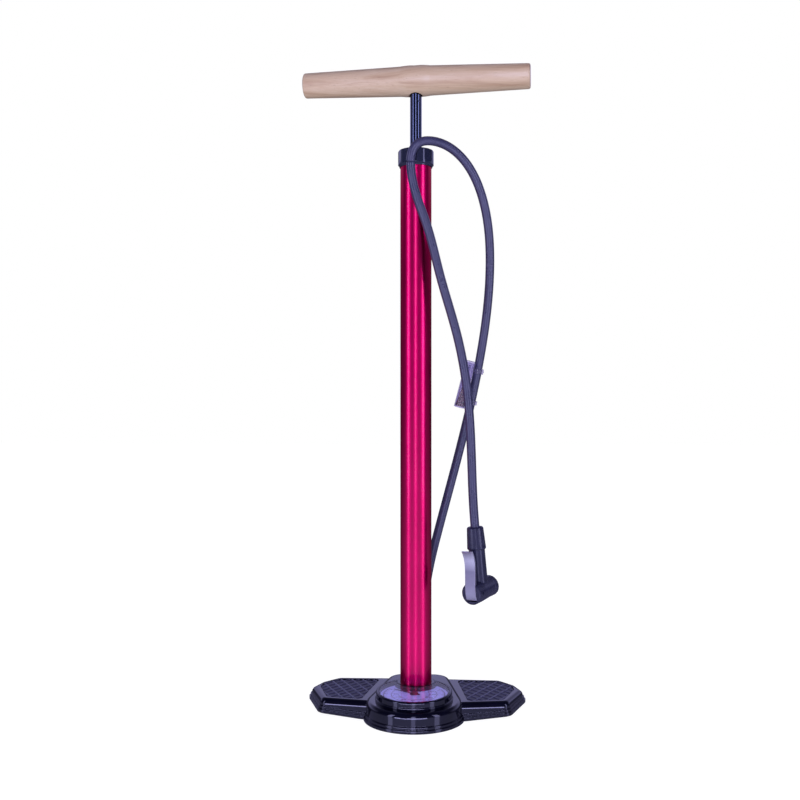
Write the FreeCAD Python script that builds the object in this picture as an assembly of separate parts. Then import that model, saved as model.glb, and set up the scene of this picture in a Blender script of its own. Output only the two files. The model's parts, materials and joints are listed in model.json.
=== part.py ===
"""Floor bike pump: foot base with dial gauge, barrel, piston, T-handle, hose and locking head.

Units are millimetres. The origin is on the floor, on the barrel's axis. +Z is up, +X runs along
the right foot wing, and -Y is the side the gauge is on. The handle is fully down at rest.
"""
import FreeCAD, Part
import math
import os

V = FreeCAD.Vector
UP = V(0, 0, 1)

# ---------------------------------------------------------------- driving dimensions
# Barrel and what slides in it
BARREL_R = 16.0
BARREL_BORE_R = 14.8
BARREL_BOTTOM = 16.0
BARREL_TOP = 566.0
ROD_R = 6.0
ROD_BORE_R = 4.5
ROD_BOTTOM = 46.0
ROD_TOP = 650.0
PISTON_BOTTOM = 28.0
PISTON_LAND = 33.0          # top of the piston's lower land, where the seal's groove begins
SEAL_GROOVE = 3.4           # height of the seal's groove
STUD_R = 3.0
RUN_GAP = 0.05              # radial clearance of a running fit
FIT_GAP = 0.1               # clearance between fixed neighbours

# Base
HOUSING_TOP = 18.5
HOUSING_FRONT_R = 48.0
HOUSING_BACK_HALF = 30.0
HOUSING_BACK_Y = 67.0
HOUSING_EDGE_R = 4.8        # rounding of the housing's top edge
WING_EDGE_R = 5.4           # rounding of the wings' top edges
FLANGE_OUT = 2.6            # lower and wider step of the foot flange
FLANGE_TOP = 3.4
STEP_OUT = 1.3              # upper step of the foot flange
STEP_TOP = 6.2
WING_TOP = 17.0
WALL = 3.0
PAD_RECESS = 1.6
GAUGE_Y = -29.0             # the gauge's centre, in front of the barrel
COLLAR_R = 19.9
COLLAR_TOP = 28.5
BLOCK_R = 18.0
BLOCK_BOTTOM = 2.7
PORT_Z = 9.6
PIPE_R = 3.1                # brass elbow between the block and the hose
AIR_R = 1.4                 # bore of the elbow
OUTLET = V(3, 34, 0)        # where the hose leaves the base, behind the barrel

# Gauge, in its own frame: origin on the housing top, leaning towards the front
GAUGE_LEAN = 2.3
BEZEL_R = 38.0
LENS_R = 35.0
LENS_TOP = 9.3
LENS_THICK = 2.0
DIAL_TOP = 5.0
CASE_R = 34.0
CASE_BOTTOM = -12.5
NEEDLE_ZERO = 150.0         # needle's angle at zero pressure, from +X
GEAR_MODULE = 0.35
PINION_TEETH = 10
SECTOR_TEETH = 64           # teeth of the full circle that the sector is part of
SECTOR_SIDE = 225.0         # direction from the arbor to the sector's pivot
SECTOR_TAIL = 7.0           # from the sector's pivot to the link's eye
SECTOR_LOW = -3.6           # the sector lies between these two heights
SECTOR_HIGH = -2.4
ARBOR_R = 0.65
ARBOR_HOLE_R = 0.72
ARBOR_BOTTOM = -9.2
DIAL_SCREW = (13.0, -9.0)   # the right one of the dial's two screws

# Top cap and handle
CAP_R = 18.25
CAP_BOTTOM = 555.0
CAP_TOP = 572.4
NOTCH_SIDE = -101.0         # direction of the notch for the hose, from +X
HANDLE_Z = 644.0
HANDLE_LENGTH = 234.0
HANDLE_CROWN_R = 15.65
HANDLE_SHOULDER_R = 14.85
HANDLE_END_R = 12.6
HANDLE_TURN = -4.5          # the handle stands a little turned at rest
CROWN_HALF = 16.0           # half the length of the grip's crowned middle
COUNTERBORE = 655.5         # floor of the hole for the bolt's head
BOLT_R = 2.5

# Hose and head
HOSE_R = 4.5
HOSE_BORE_R = 2.6
HOSE_FRONT_Y = -21.0
HOSE_PIVOT = V(-3.9, HOSE_FRONT_Y, 549.0)
HEAD_LEVER_END = V(60.0, -30.5, 125.8)
HEAD_VALVE_END = V(75.2, -6.5, 128.8)
HEAD_NUT_TOP = V(60.5, HOSE_FRONT_Y, 190.0)
HEAD_STEM_FOOT = V(65.6, HOSE_FRONT_Y, 126.6)
VALVE_R = 4.0               # hole for a tyre valve
VALVE_LENGTH = 10.0
HEAD_LENGTH = HEAD_LEVER_END.distanceToPoint(HEAD_VALVE_END)
HEAD_R = 11.0
CHEEK_HALF = 6.1            # half the gap that the lever works in
LEVER_HALF = 5.95
PIN_R = 1.5
CAM_REST_R = 4.2
FOOT_SWING_R = 8.95         # room that the lever's foot turns in
PLUNGER_TRAVEL = 2.4
NUT_LENGTH = 22.5


# ---------------------------------------------------------------- small helpers
def rod(radius, low, high, x=0.0, y=0.0):
    """Upright cylinder from height low to height high."""
    return Part.makeCylinder(radius, high - low, V(x, y, low), UP)


def ring(outer, inner, low, high, x=0.0, y=0.0):
    """Upright tube."""
    return rod(outer, low, high, x, y).cut(rod(inner, low - 1, high + 1, x, y))


def bar(radius, start, end):
    """Cylinder between two points."""
    return Part.makeCylinder(radius, start.distanceToPoint(end), start, end - start)


def block(low, high):
    """Box between two corners."""
    size = V(*high) - V(*low)
    return Part.makeBox(size.x, size.y, size.z, V(*low))


def prism(points, low, high):
    """Straight-sided outline pulled up from low to high."""
    corners = [V(x, y, low) for x, y in points]
    face = Part.Face(Part.makePolygon(corners + corners[:1]))
    return face.extrude(V(0, 0, high - low))


def turned(profile, centre=V(0, 0, 0), axis=UP):
    """Solid turned about an axis; profile is (radius, height) points along it."""
    corners = [V(r, 0, z) for r, z in profile]
    solid = Part.Face(Part.makePolygon(corners + corners[:1])).revolve(V(0, 0, 0), UP, 360)
    solid.Placement = FreeCAD.Placement(centre, FreeCAD.Rotation(UP, axis))
    return solid


def fuse(*shapes):
    """One solid out of touching pieces."""
    joined = shapes[0].multiFuse(list(shapes[1:]))
    return joined.removeSplitter()


def round_edges(solid, radius, wanted):
    """Fillet the edges for which wanted(edge) is true."""
    edges = [edge for edge in solid.Edges if wanted(edge)]
    return solid.makeFillet(radius, edges)


def all_at_height(z):
    """Test for edges that lie wholly at one height."""
    def test(edge):
        box = edge.BoundBox
        return abs(box.ZMin - z) < 0.01 and abs(box.ZMax - z) < 0.01
    return test


def upright(edge):
    """Test for straight upright edges."""
    box = edge.BoundBox
    return box.XLength < 0.01 and box.YLength < 0.01


def polar(radius, degrees):
    """Point on a circle round the origin."""
    angle = math.radians(degrees)
    return radius * math.cos(angle), radius * math.sin(angle)


def mirrored(shape):
    """The same piece on the other side of the YZ plane."""
    return shape.mirror(V(0, 0, 0), V(1, 0, 0))


parts = {}


def keep(name, shape):
    """Store one named sub-part; it must be made of closed valid solids."""
    if not shape.isValid() or not shape.Solids:
        raise ValueError(name + " is not a valid solid")
    solids = shape.Solids
    parts[name] = solids[0] if len(solids) == 1 else Part.makeCompound(solids)


# ---------------------------------------------------------------- base
def housing_outline(grow=0.0):
    """Plan of the central housing: round front, sides that lean in, straight back."""
    radius = HOUSING_FRONT_R + grow
    back_x = HOUSING_BACK_HALF + grow
    back_y = HOUSING_BACK_Y + grow
    reach = math.hypot(back_x, back_y - GAUGE_Y)
    lean = math.atan2(back_y - GAUGE_Y, back_x) - math.acos(radius / reach)
    x = radius * math.cos(lean)
    y = GAUGE_Y + radius * math.sin(lean)
    front = V(0, GAUGE_Y - radius, 0)
    arc = Part.Arc(V(-x, y, 0), front, V(x, y, 0)).toShape()
    right = Part.makeLine(V(x, y, 0), V(back_x, back_y, 0))
    back = Part.makeLine(V(back_x, back_y, 0), V(-back_x, back_y, 0))
    left = Part.makeLine(V(-back_x, back_y, 0), V(-x, y, 0))
    return Part.Face(Part.Wire([arc, right, back, left]))


def housing_solid(grow, low, high, corner_r=18.0):
    """Central housing between two heights, with rounded back corners."""
    face = housing_outline(grow)
    face.translate(V(0, 0, low))
    solid = face.extrude(V(0, 0, high - low))
    return round_edges(solid, corner_r, lambda e: upright(e) and e.BoundBox.YMin > 0.9 * HOUSING_BACK_Y)


WING_PLAN = [(20, -39.5), (50, -34.5), (94, -27.5), (110.5, 15), (103, 35), (87, 53), (20, 55)]
PAD_PLAN = [(53.5, -26.5), (89, -20), (101, 16), (100, 27), (91.5, 41), (83, 46), (41.5, 47)]


def grown(points, amount):
    """Closed outline moved outwards by an amount (inwards if negative)."""
    wire = Part.makePolygon([V(x, y, 0) for x, y in points + points[:1]])
    return Part.Face(wire.makeOffset2D(amount, 2))


def wing_solid(grow, low, high, corner_r):
    """Right foot wing between two heights, with rounded corners at the tip."""
    face = grown(WING_PLAN, grow) if grow else grown(WING_PLAN, 0.001)
    face.translate(V(0, 0, low))
    solid = face.extrude(V(0, 0, high - low))
    return round_edges(solid, corner_r, lambda e: upright(e) and e.BoundBox.XMin > 80)


def wing_underside(lift=0.0):
    """Space under the right wing, whose foot rises a little towards the tip; lift moves its ceiling up."""
    level_to, far, slope = 52.0, 130.0, 0.082
    rise = lift + slope * (far - level_to)
    corners = [V(0, -90, -10), V(0, -90, lift), V(level_to, -90, lift), V(far, -90, rise), V(far, -90, -10)]
    return Part.Face(Part.makePolygon(corners + corners[:1])).extrude(V(0, 180, 0))


def pad_solid(shrink, low, high):
    """Right tread pad or the recess that it sits in."""
    face = grown(PAD_PLAN, -shrink)
    face.translate(V(0, 0, low))
    solid = face.extrude(V(0, 0, high - low))
    return round_edges(solid, 5.0, upright)


SCREW_POSTS = [(37, -38), (-37, -38), (21, 50), (-21, 50)]
POST_R = 3.6
BOSS_R = BLOCK_R + 2.5      # wall round the valve block
FOOT_SPOT = (84.0, 14.0)
FOOT_R = 7.0
FOOT_HEIGHT = 7.0
RIB_PLACES = (64, 78, 92)
RIB_THICK = 2.0


def base_shell():
    """Moulded base: housing and wings in one piece, hollow underneath."""
    housing = round_edges(housing_solid(0, 0, HOUSING_TOP), HOUSING_EDGE_R, all_at_height(HOUSING_TOP))
    flange = round_edges(housing_solid(FLANGE_OUT, 0, FLANGE_TOP), 0.9, all_at_height(FLANGE_TOP))
    step = round_edges(housing_solid(STEP_OUT, 0, STEP_TOP), 0.9, all_at_height(STEP_TOP))
    wing = round_edges(wing_solid(0, 0, WING_TOP, 9.0), WING_EDGE_R, all_at_height(WING_TOP))
    wide_skirt = wing_solid(FLANGE_OUT, 0, 11.0, 10.0).common(wing_underside(FLANGE_TOP))
    high_skirt = wing_solid(STEP_OUT, 0, 11.0, 9.5).common(wing_underside(STEP_TOP))
    wing = fuse(wing, wide_skirt, high_skirt).cut(wing_underside())
    hollow = wing_solid(-WALL, -1, WING_TOP - WALL - PAD_RECESS, 4.0)
    hollow = hollow.common(block((50, -60, -2), (130, 80, WING_TOP)))
    ribs = [block((x, -60, 4), (x + RIB_THICK, 80, WING_TOP)) for x in RIB_PLACES]
    hollow = hollow.cut(Part.makeCompound(ribs))
    wing = wing.cut(hollow)
    socket = rod(FOOT_R + 2, 4.5, WING_TOP - 2, *FOOT_SPOT)
    wing = fuse(wing, socket).cut(rod(FOOT_R + FIT_GAP, 0, FOOT_HEIGHT + FIT_GAP, *FOOT_SPOT))
    wing = wing.cut(pad_solid(0, WING_TOP - PAD_RECESS, WING_TOP + 5))
    shell = fuse(housing, flange, step, wing, mirrored(wing))
    inside = housing_solid(-WALL, -1, HOUSING_TOP - WALL, 14.0)
    boss = rod(BOSS_R, BLOCK_BOTTOM, HOUSING_TOP)
    posts = [rod(POST_R, BLOCK_BOTTOM, HOUSING_TOP, x, y) for x, y in SCREW_POSTS]
    outlet_post = rod(6.5, BLOCK_BOTTOM, HOUSING_TOP, OUTLET.x, OUTLET.y)
    inside = inside.cut(Part.makeCompound([boss] + posts + [outlet_post]))
    shell = shell.cut(inside)
    gauge_well = rod(CASE_R + 1.5, BLOCK_BOTTOM - 4, HOUSING_TOP + 5, 0, GAUGE_Y)
    shell = shell.cut(gauge_well.cut(rod(BOSS_R, -5, 30)))
    shell = shell.cut(rod(BARREL_R + FIT_GAP, 0, HOUSING_TOP + 5))
    shell = shell.cut(rod(BLOCK_R + FIT_GAP, -1, BARREL_BOTTOM))
    for x, y in SCREW_POSTS:
        shell = shell.cut(rod(1.55, 0, 13, x, y))
    pipe_room = PIPE_R + 0.5
    shell = shell.cut(bar(pipe_room, V(0, 15, PORT_Z), V(OUTLET.x, OUTLET.y, PORT_Z)))
    shell = shell.cut(bar(2.2, V(0, -15, PORT_Z), V(0, -24, PORT_Z)))
    return shell.cut(rod(pipe_room, 0, HOUSING_TOP + 5, OUTLET.x, OUTLET.y))


def base_plate():
    """Cover plate that closes the housing and holds the valve block up."""
    plate = housing_solid(-WALL - 0.3, 0.0, BLOCK_BOTTOM - 0.1, 13.5)
    countersink = turned([(0, -1), (3.6, -1), (3.6, 0.9), (1.7, 2.9), (1.7, 4), (0, 4)])
    for x, y in SCREW_POSTS:
        plate = plate.cut(countersink.translated(V(x, y, 0)))
    return plate


def base_screws():
    """Countersunk screws up into the posts of the shell."""
    screw = turned([(0, 0.85), (3.3, 0.85), (1.5, 2.65), (1.5, 12), (0, 12.8)])
    slot = block((-0.5, -2.2, 0.5), (0.5, 2.2, 1.5))
    cross = fuse(slot, slot.rotated(V(0, 0, 0), UP, 90))
    screw = screw.cut(cross)
    return Part.makeCompound([screw.translated(V(x, y, 0)) for x, y in SCREW_POSTS])


def wing_feet():
    """Rubber feet pressed up into the wings."""
    foot = round_edges(rod(FOOT_R, 0, FOOT_HEIGHT, *FOOT_SPOT), 0.8, all_at_height(0))
    return Part.makeCompound([foot, mirrored(foot)])


def tread_pads():
    """Tread insert of each wing, a plate in a shallow recess."""
    pad = pad_solid(0.6, WING_TOP - PAD_RECESS, WING_TOP - 0.3)
    return pad, mirrored(pad)


def barrel_collar():
    """Glossy locking ring round the foot of the barrel."""
    collar = ring(COLLAR_R, BARREL_R + FIT_GAP, HOUSING_TOP + 0.02, COLLAR_TOP)
    return round_edges(collar, 1.2, lambda e: all_at_height(COLLAR_TOP)(e) and e.BoundBox.XLength > 38)


def valve_block():
    """Air block under the barrel: spigot with a groove, check valve chamber and two ports."""
    spigot_r = BARREL_BORE_R - RUN_GAP
    body = fuse(rod(BLOCK_R, BLOCK_BOTTOM, BARREL_BOTTOM - 0.02), rod(spigot_r, 12, 26))
    body = body.cut(ring(20, 12.6, 20, 22.4))
    body = body.cut(rod(5.5, 0, 11))
    body = body.cut(rod(2.0, 0, 30))
    body = body.cut(bar(1.2, V(0, 0, PORT_Z), V(0, -20, PORT_Z)))
    body = body.cut(bar(1.2, V(0, 0, PORT_Z), V(0, 20, PORT_Z)))
    body = body.cut(bar(2.0, V(0, -16.4, PORT_Z), V(0, -20, PORT_Z)))
    return body.cut(bar(PIPE_R + FIT_GAP, V(0, 15.4, PORT_Z), V(OUTLET.x, OUTLET.y, PORT_Z)))


def barrel_seal_ring():
    """O-ring between the block's spigot and the barrel."""
    return Part.makeTorus(13.72, 1.05, V(0, 0, 21.2), UP)


def check_valve():
    """Spring-loaded disc that closes the port under the barrel, and the cage that holds it."""
    disc = rod(4.2, 9.5, 10.98)
    stem = rod(1.0, 7.6, 9.6)
    cage = ring(5.45, 1.5, 3.0, 5.0)
    for degrees in (0, 120, 240):
        x, y = polar(3.6, degrees)
        cage = cage.cut(rod(0.9, 2, 6, x, y))
    wire_r = 0.3
    coil_r = 2.6
    helix = Part.makeHelix(1.05, 3.7, coil_r)
    start = Part.Circle(V(coil_r, 0, 0), V(0, 1, 0), wire_r)
    spring = Part.Wire(helix.Edges).makePipeShell([Part.Wire([start.toShape()])], True, True)
    spring.translate(V(0, 0, 5.4))
    return fuse(disc, stem), cage, spring


def hose_outlet():
    """Elbow from the block's rear port up through the housing to the hose barb."""
    turn = V(OUTLET.x, OUTLET.y, PORT_Z)
    level = bar(PIPE_R, V(0, 15.6, PORT_Z), turn).cut(rod(15.6, 0, 20))
    riser = rod(3.5, 6.0, 21.0, OUTLET.x, OUTLET.y)
    shoulder = rod(5.6, HOUSING_TOP + 0.05, 21.0, OUTLET.x, OUTLET.y)
    barb = rod(HOSE_BORE_R - 0.15, 20, 30, OUTLET.x, OUTLET.y)
    body = fuse(level, riser, shoulder, barb)
    body = body.cut(rod(AIR_R, PORT_Z, 40, OUTLET.x, OUTLET.y))
    return body.cut(bar(AIR_R, V(0, 15, PORT_Z), turn))


# ---------------------------------------------------------------- gauge
def place_gauge(shape):
    """Move a piece from the gauge's own frame to its leaning place in the base."""
    lean = FreeCAD.Rotation(V(1, 0, 0), GAUGE_LEAN)
    placed = shape.copy()
    placed.Placement = FreeCAD.Placement(V(0, GAUGE_Y, HOUSING_TOP), lean).multiply(placed.Placement)
    return placed


def bite(radius):
    """Upright column that gives the collar room where the gauge overlaps it."""
    return rod(radius, -20, 60).rotated(V(0, 0, 0), UP, 90)


def gauge_case():
    """Cup under the dial, with a pocket for the movement."""
    wall = 1.5
    outside = place_gauge(rod(CASE_R, CASE_BOTTOM, DIAL_TOP - 0.85)).cut(bite(21.3))
    inside = place_gauge(rod(CASE_R - wall, CASE_BOTTOM + wall, DIAL_TOP)).cut(bite(21.3 + wall))
    return outside.cut(inside).cut(bar(2.0, V(0, -18, PORT_Z), V(0, -25, PORT_Z)))


def gauge_bezel():
    """Ring round the lens: upright wall, level foot, leaning and bevelled top."""
    blank = rod(BEZEL_R, HOUSING_TOP + 0.03, 60, 0, GAUGE_Y)
    blank = blank.cut(place_gauge(block((-60, -60, LENS_TOP), (60, 60, 90))))
    rim = [e for e in blank.Edges if e.BoundBox.ZMin > 24]
    blank = blank.makeFillet(1.6, rim)
    foot = round_edges(rod(BEZEL_R + 0.9, HOUSING_TOP + 0.03, HOUSING_TOP + 2.6, 0, GAUGE_Y), 0.85,
                       all_at_height(HOUSING_TOP + 2.6))
    blank = fuse(blank, foot)
    blank = blank.cut(bite(COLLAR_R + 0.15))
    lens_pocket = place_gauge(rod(LENS_R + 0.1, LENS_TOP - LENS_THICK - 0.05, 60)).cut(bite(21.1))
    below = place_gauge(rod(CASE_R + 0.2, -30, LENS_TOP - LENS_THICK + 0.5)).cut(bite(21.1))
    return blank.cut(lens_pocket).cut(below)


def gauge_lens():
    """Clear lens with a softened rim."""
    lens = rod(LENS_R, LENS_TOP - LENS_THICK, LENS_TOP)
    lens = round_edges(lens, 0.6, all_at_height(LENS_TOP))
    return place_gauge(lens).cut(bite(21.25))


def gauge_dial():
    """Printed disc on the rim of the case."""
    disc = rod(CASE_R - 0.1, DIAL_TOP - 0.8, DIAL_TOP).rotated(V(0, 0, 0), UP, -90)
    dial = place_gauge(disc).cut(bite(21.45))
    screw_x, screw_y = DIAL_SCREW
    holes = [rod(1.6, 0, 10)] + [rod(0.9, 0, 10, screw_x * side, screw_y) for side in (-1, 1)]
    for hole in holes:
        dial = dial.cut(place_gauge(hole))
    return dial


def dial_screws():
    """Two small screws that hold the dial to the movement's front plate."""
    screws = []
    screw_x, screw_y = DIAL_SCREW
    for side in (-1, 1):
        head = rod(1.5, DIAL_TOP + 0.02, DIAL_TOP + 0.55, screw_x * side, screw_y)
        shank = rod(0.8, 0.2, DIAL_TOP + 0.3, screw_x * side, screw_y)
        screws.append(place_gauge(fuse(head, shank)))
    return Part.makeCompound(screws)


def gauge_needle():
    """Pointer with a tail and a domed hub."""
    tip = 24.5
    tail = -6.6
    plan = [(tail, -1.3), (tail, 1.3), (0, 1.1), (tip, 0.25), (tip, -0.25), (0, -1.1)]
    pointer = prism(plan, 5.8, 6.3)
    dome = turned([(0, 5.5), (4.3, 5.5), (4.3, 6.2), (3.6, 6.75), (2.2, 7.1), (0, 7.2)])
    needle = fuse(pointer, dome).cut(rod(0.7, 0, 6.6))
    return place_gauge(needle.rotated(V(0, 0, 0), UP, NEEDLE_ZERO))


def gear(teeth, low, high, first=0.0, count=None):
    """Small spur gear with straight-flanked teeth; count limits it to a sector."""
    pitch_r = GEAR_MODULE * teeth / 2
    root_r = pitch_r - 1.15 * GEAR_MODULE
    tip_r = pitch_r + 0.7 * GEAR_MODULE
    step = 360.0 / teeth
    blank = rod(root_r, low, high)
    root_half = 0.27 * step * (1.15 if teeth > 20 else 1.0)
    tip_half = 0.1 * step
    flanks = []
    for index in range(count or teeth):
        middle = first + index * step
        corners = [polar(root_r * 0.98, middle - root_half), polar(tip_r, middle - tip_half),
                   polar(tip_r, middle + tip_half), polar(root_r * 0.98, middle + root_half)]
        flanks.append(prism(corners, low, high))
    return blank.multiFuse(flanks).removeSplitter()


def pinion_arbor():
    """Arbor that carries the needle, with the pinion cut on it."""
    pinion = gear(PINION_TEETH, -4.4, -1.6, SECTOR_SIDE)
    arbor = fuse(rod(ARBOR_R, ARBOR_BOTTOM, 6.5), pinion)
    return place_gauge(arbor)


def sector_place():
    """Pivot of the sector gear in the gauge frame."""
    distance = GEAR_MODULE * (PINION_TEETH + SECTOR_TEETH) / 2
    return polar(distance, SECTOR_SIDE)


def sector_gear():
    """Toothed sector on its own arbor, with a tail for the link."""
    step = 360.0 / SECTOR_TEETH
    facing = SECTOR_SIDE - 180.0
    before = 3
    after = 9
    first = facing + step / 2 - before * step
    wheel = gear(SECTOR_TEETH, SECTOR_LOW, SECTOR_HIGH, first, before + after)
    reach = 30.0
    wedge = [(0, 0), polar(reach, first - step), polar(reach, first + 3 * step),
             polar(reach, first + 8 * step), polar(reach, first + (before + after) * step)]
    fan = wheel.common(prism(wedge, -5, 0))
    tail_x, tail_y = polar(SECTOR_TAIL, SECTOR_SIDE)
    level = block((-9, -9, SECTOR_LOW), (9, 9, SECTOR_HIGH))
    tail = bar(1.3, V(0, 0, SECTOR_LOW), V(tail_x, tail_y, SECTOR_LOW)).common(level)
    eye = rod(1.7, SECTOR_LOW, SECTOR_HIGH, tail_x, tail_y)
    hub = rod(2.2, SECTOR_LOW, SECTOR_HIGH)
    stud = rod(0.55, -2.5, -0.9, tail_x, tail_y)
    arbor = rod(ARBOR_R, ARBOR_BOTTOM, 1.2)
    body = fuse(hub, fan, tail, eye, stud, arbor)
    x, y = sector_place()
    return place_gauge(body.translated(V(x, y, 0)))


BOURDON_Y = -4.0
BOURDON_R = 25.0
TIP_ANGLE = 186.0


def bourdon_tube():
    """Flattened tube bent into a C; it uncurls as pressure rises."""
    low, high, half, wall = -8.0, -3.0, 0.9, 0.25
    outer = [V(BOURDON_R - half, 0, low), V(BOURDON_R + half, 0, low),
             V(BOURDON_R + half, 0, high), V(BOURDON_R - half, 0, high)]
    inner = [V(BOURDON_R - half + wall, 0, low + wall), V(BOURDON_R + half - wall, 0, low + wall),
             V(BOURDON_R + half - wall, 0, high - wall), V(BOURDON_R - half + wall, 0, high - wall)]
    face = Part.Face(Part.makePolygon(outer + outer[:1])).cut(Part.Face(Part.makePolygon(inner + inner[:1])))
    fixed_angle = 372.0
    tube = face.revolve(V(0, 0, 0), UP, fixed_angle - TIP_ANGLE)
    return tube.rotated(V(0, 0, 0), UP, TIP_ANGLE).translated(V(0, BOURDON_Y, 0))


def gauge_socket(tube):
    """Brass bar that feeds the bourdon tube from the valve block."""
    pipe = bar(1.9, V(0, -16.5, PORT_Z), V(0, -24, PORT_Z))
    across = place_gauge(block((-2.6, 3.4, -10.6), (22.6, 5.8, -7.4)))
    riser = place_gauge(block((21.6, -1.5, -10.6), (27.0, 5.0, -2.2)))
    body = fuse(pipe, across, riser)
    return body.cut(bar(0.9, V(0, -15, PORT_Z), V(0, -23, PORT_Z))).cut(tube)


def bourdon_link():
    """Thin link from the sector's tail to the free end of the bourdon tube."""
    x, y = sector_place()
    tail_x, tail_y = polar(SECTOR_TAIL, SECTOR_SIDE)
    start = V(x + tail_x, y + tail_y, 0)
    tip_x, tip_y = polar(BOURDON_R, TIP_ANGLE)
    end = V(tip_x + 1.5, tip_y + BOURDON_Y, 0)
    along = end - start
    bend = math.degrees(math.atan2(along.y, along.x))
    strip = block((0, -0.7, -2.3), (along.Length, 0.7, -1.7))
    strip = strip.rotated(V(0, 0, 0), UP, bend).translated(start)
    eyes = fuse(rod(1.3, -2.3, -1.7, start.x, start.y), strip)
    return place_gauge(eyes.cut(rod(0.62, -3, 0, start.x, start.y)))


def movement_plates():
    """Back plate with three posts, and front plate that carries the arbors' tops."""
    plan = [(-17, 0.5), (-17, -20), (17, -20), (17, 0.5), (6, 2.4), (-6, 2.4)]
    spots = [(-14.5, -2.5), (14.5, -2.5), (12, -17)]
    back = prism(plan, -9.3, -8.1)
    posts = [rod(1.4, CASE_BOTTOM + 1.55, -0.05, x, y) for x, y in spots]
    pegs = [rod(0.7, -0.2, 1.35, x, y) for x, y in spots]
    back = back.multiFuse(posts + pegs).removeSplitter()
    front = prism(plan, 0.0, 1.3)
    for hole_x, hole_y in ((0, 0), sector_place()):
        back = back.cut(rod(ARBOR_HOLE_R, -12, 0, hole_x, hole_y))
        front = front.cut(rod(ARBOR_HOLE_R, -1, 3, hole_x, hole_y))
    for hole_x, hole_y in spots:
        front = front.cut(rod(0.75, -1, 3, hole_x, hole_y))
    screw_x, screw_y = DIAL_SCREW
    for side in (-1, 1):
        front = front.cut(rod(0.82, -1, 3, screw_x * side, screw_y))
    return place_gauge(back), place_gauge(front)


def hairspring():
    """Flat spiral that takes the backlash out of the gears."""
    turns = 3.5
    inner_r = 1.2
    pitch = 1.1
    thick = 0.25
    steps = 36

    def edge(extra):
        points = []
        for index in range(steps + 1):
            part = index / steps
            x, y = polar(inner_r + extra + part * turns * pitch, part * turns * 360 + 60)
            points.append(V(x, y, -1.1))
        curve = Part.BSplineCurve()
        curve.interpolate(points)
        return curve.toShape(), points[0], points[-1]
    near, near_start, near_end = edge(0.0)
    far, far_start, far_end = edge(thick)
    wire = Part.Wire([near, Part.makeLine(near_end, far_end), far, Part.makeLine(far_start, near_start)])
    return place_gauge(Part.Face(wire).extrude(V(0, 0, 0.6)))


# ---------------------------------------------------------------- barrel top
def barrel_tube():
    """Drawn aluminium barrel."""
    return ring(BARREL_R, BARREL_BORE_R, BARREL_BOTTOM, BARREL_TOP)


def top_cap():
    """Cap over the barrel's top with grip flats and a notch that the hose clips into."""
    cap = turned([(0, CAP_BOTTOM), (16.8, CAP_BOTTOM), (17.1, CAP_BOTTOM + 1.2), (CAP_R, CAP_BOTTOM + 2.4),
                  (CAP_R, CAP_TOP - 1.4), (CAP_R - 0.5, CAP_TOP - 0.5), (CAP_R - 1.6, CAP_TOP), (0, CAP_TOP)])
    flat_depth = 1.0
    for side in (1, 2, 4, 5):
        flat = block((CAP_R - flat_depth, -5.2, CAP_BOTTOM + 4.4), (30, 5.2, CAP_TOP + 1))
        flat = round_edges(flat, 1.6, lambda e: e.BoundBox.XLength > 5 and e.BoundBox.ZMax < CAP_TOP)
        cap = cap.cut(flat.rotated(V(0, 0, 0), UP, 60 * side + NOTCH_SIDE))
    mouth = block((CAP_R - 1.4, -5.4, CAP_BOTTOM + 3.4), (30, 5.4, CAP_TOP + 1))
    mouth = round_edges(mouth, 1.6, lambda e: e.BoundBox.XLength > 5 and e.BoundBox.ZMax < CAP_TOP)
    cap = cap.cut(mouth.rotated(V(0, 0, 0), UP, NOTCH_SIDE))
    cap = cap.cut(rod(BARREL_R + FIT_GAP, CAP_BOTTOM - 1, BARREL_TOP + FIT_GAP))
    cap = cap.cut(rod(9.0, BARREL_TOP, 570.9)).cut(rod(ROD_R + 0.5, BARREL_TOP, CAP_TOP + 1))
    notch = rod(HOSE_R + 0.15, CAP_BOTTOM - 5, CAP_TOP + 5, HOSE_PIVOT.x, HOSE_FRONT_Y)
    return cap.cut(notch).cut(sweep_round(hose_curve(), HOSE_R + 0.15))


def rod_bushing():
    """Guide bush in the barrel's mouth."""
    outline = [(ROD_R + RUN_GAP, 546), (14.6, 546), (14.6, 565.9), (8.9, 565.9), (8.9, 569.3),
               (ROD_R + RUN_GAP, 569.3)]
    return turned(outline)


def rod_wiper():
    """Felt ring that wipes the rod."""
    return ring(8.9, ROD_R + RUN_GAP, 569.4, 570.85)


# ---------------------------------------------------------------- piston, rod and handle
def piston_head():
    """Moulded piston with two lands and a groove for its seal."""
    r = BARREL_BORE_R - 0.15
    top = ROD_BOTTOM - 0.1
    groove_r = 12.4
    groove_top = PISTON_LAND + SEAL_GROOVE
    outline = [(0, PISTON_BOTTOM), (r - 1.2, PISTON_BOTTOM), (r, PISTON_BOTTOM + 1.2), (r, PISTON_LAND),
               (groove_r, PISTON_LAND), (groove_r, groove_top), (r, groove_top), (r, 41), (10.5, top),
               (0, top)]
    head = turned(outline)
    nut_room = rod(7.0, 20, PISTON_LAND + 1)
    return head.cut(rod(STUD_R + RUN_GAP, 20, 60)).cut(nut_room)


def piston_seal():
    """O-ring of the piston, which wipes the barrel."""
    return Part.makeTorus(13.55, 1.15, V(0, 0, PISTON_LAND + SEAL_GROOVE / 2), UP)


def piston_rod():
    """Black steel tube from the piston into the handle, with two small crimps under the grip."""
    body = ring(ROD_R, ROD_BORE_R, ROD_BOTTOM, ROD_TOP)
    crimp_height = 622.0
    for x in (-3.4, 3.4):
        body = body.cut(bar(0.65, V(x, -7.3, crimp_height), V(x, -3.3, crimp_height)))
    return body


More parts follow.
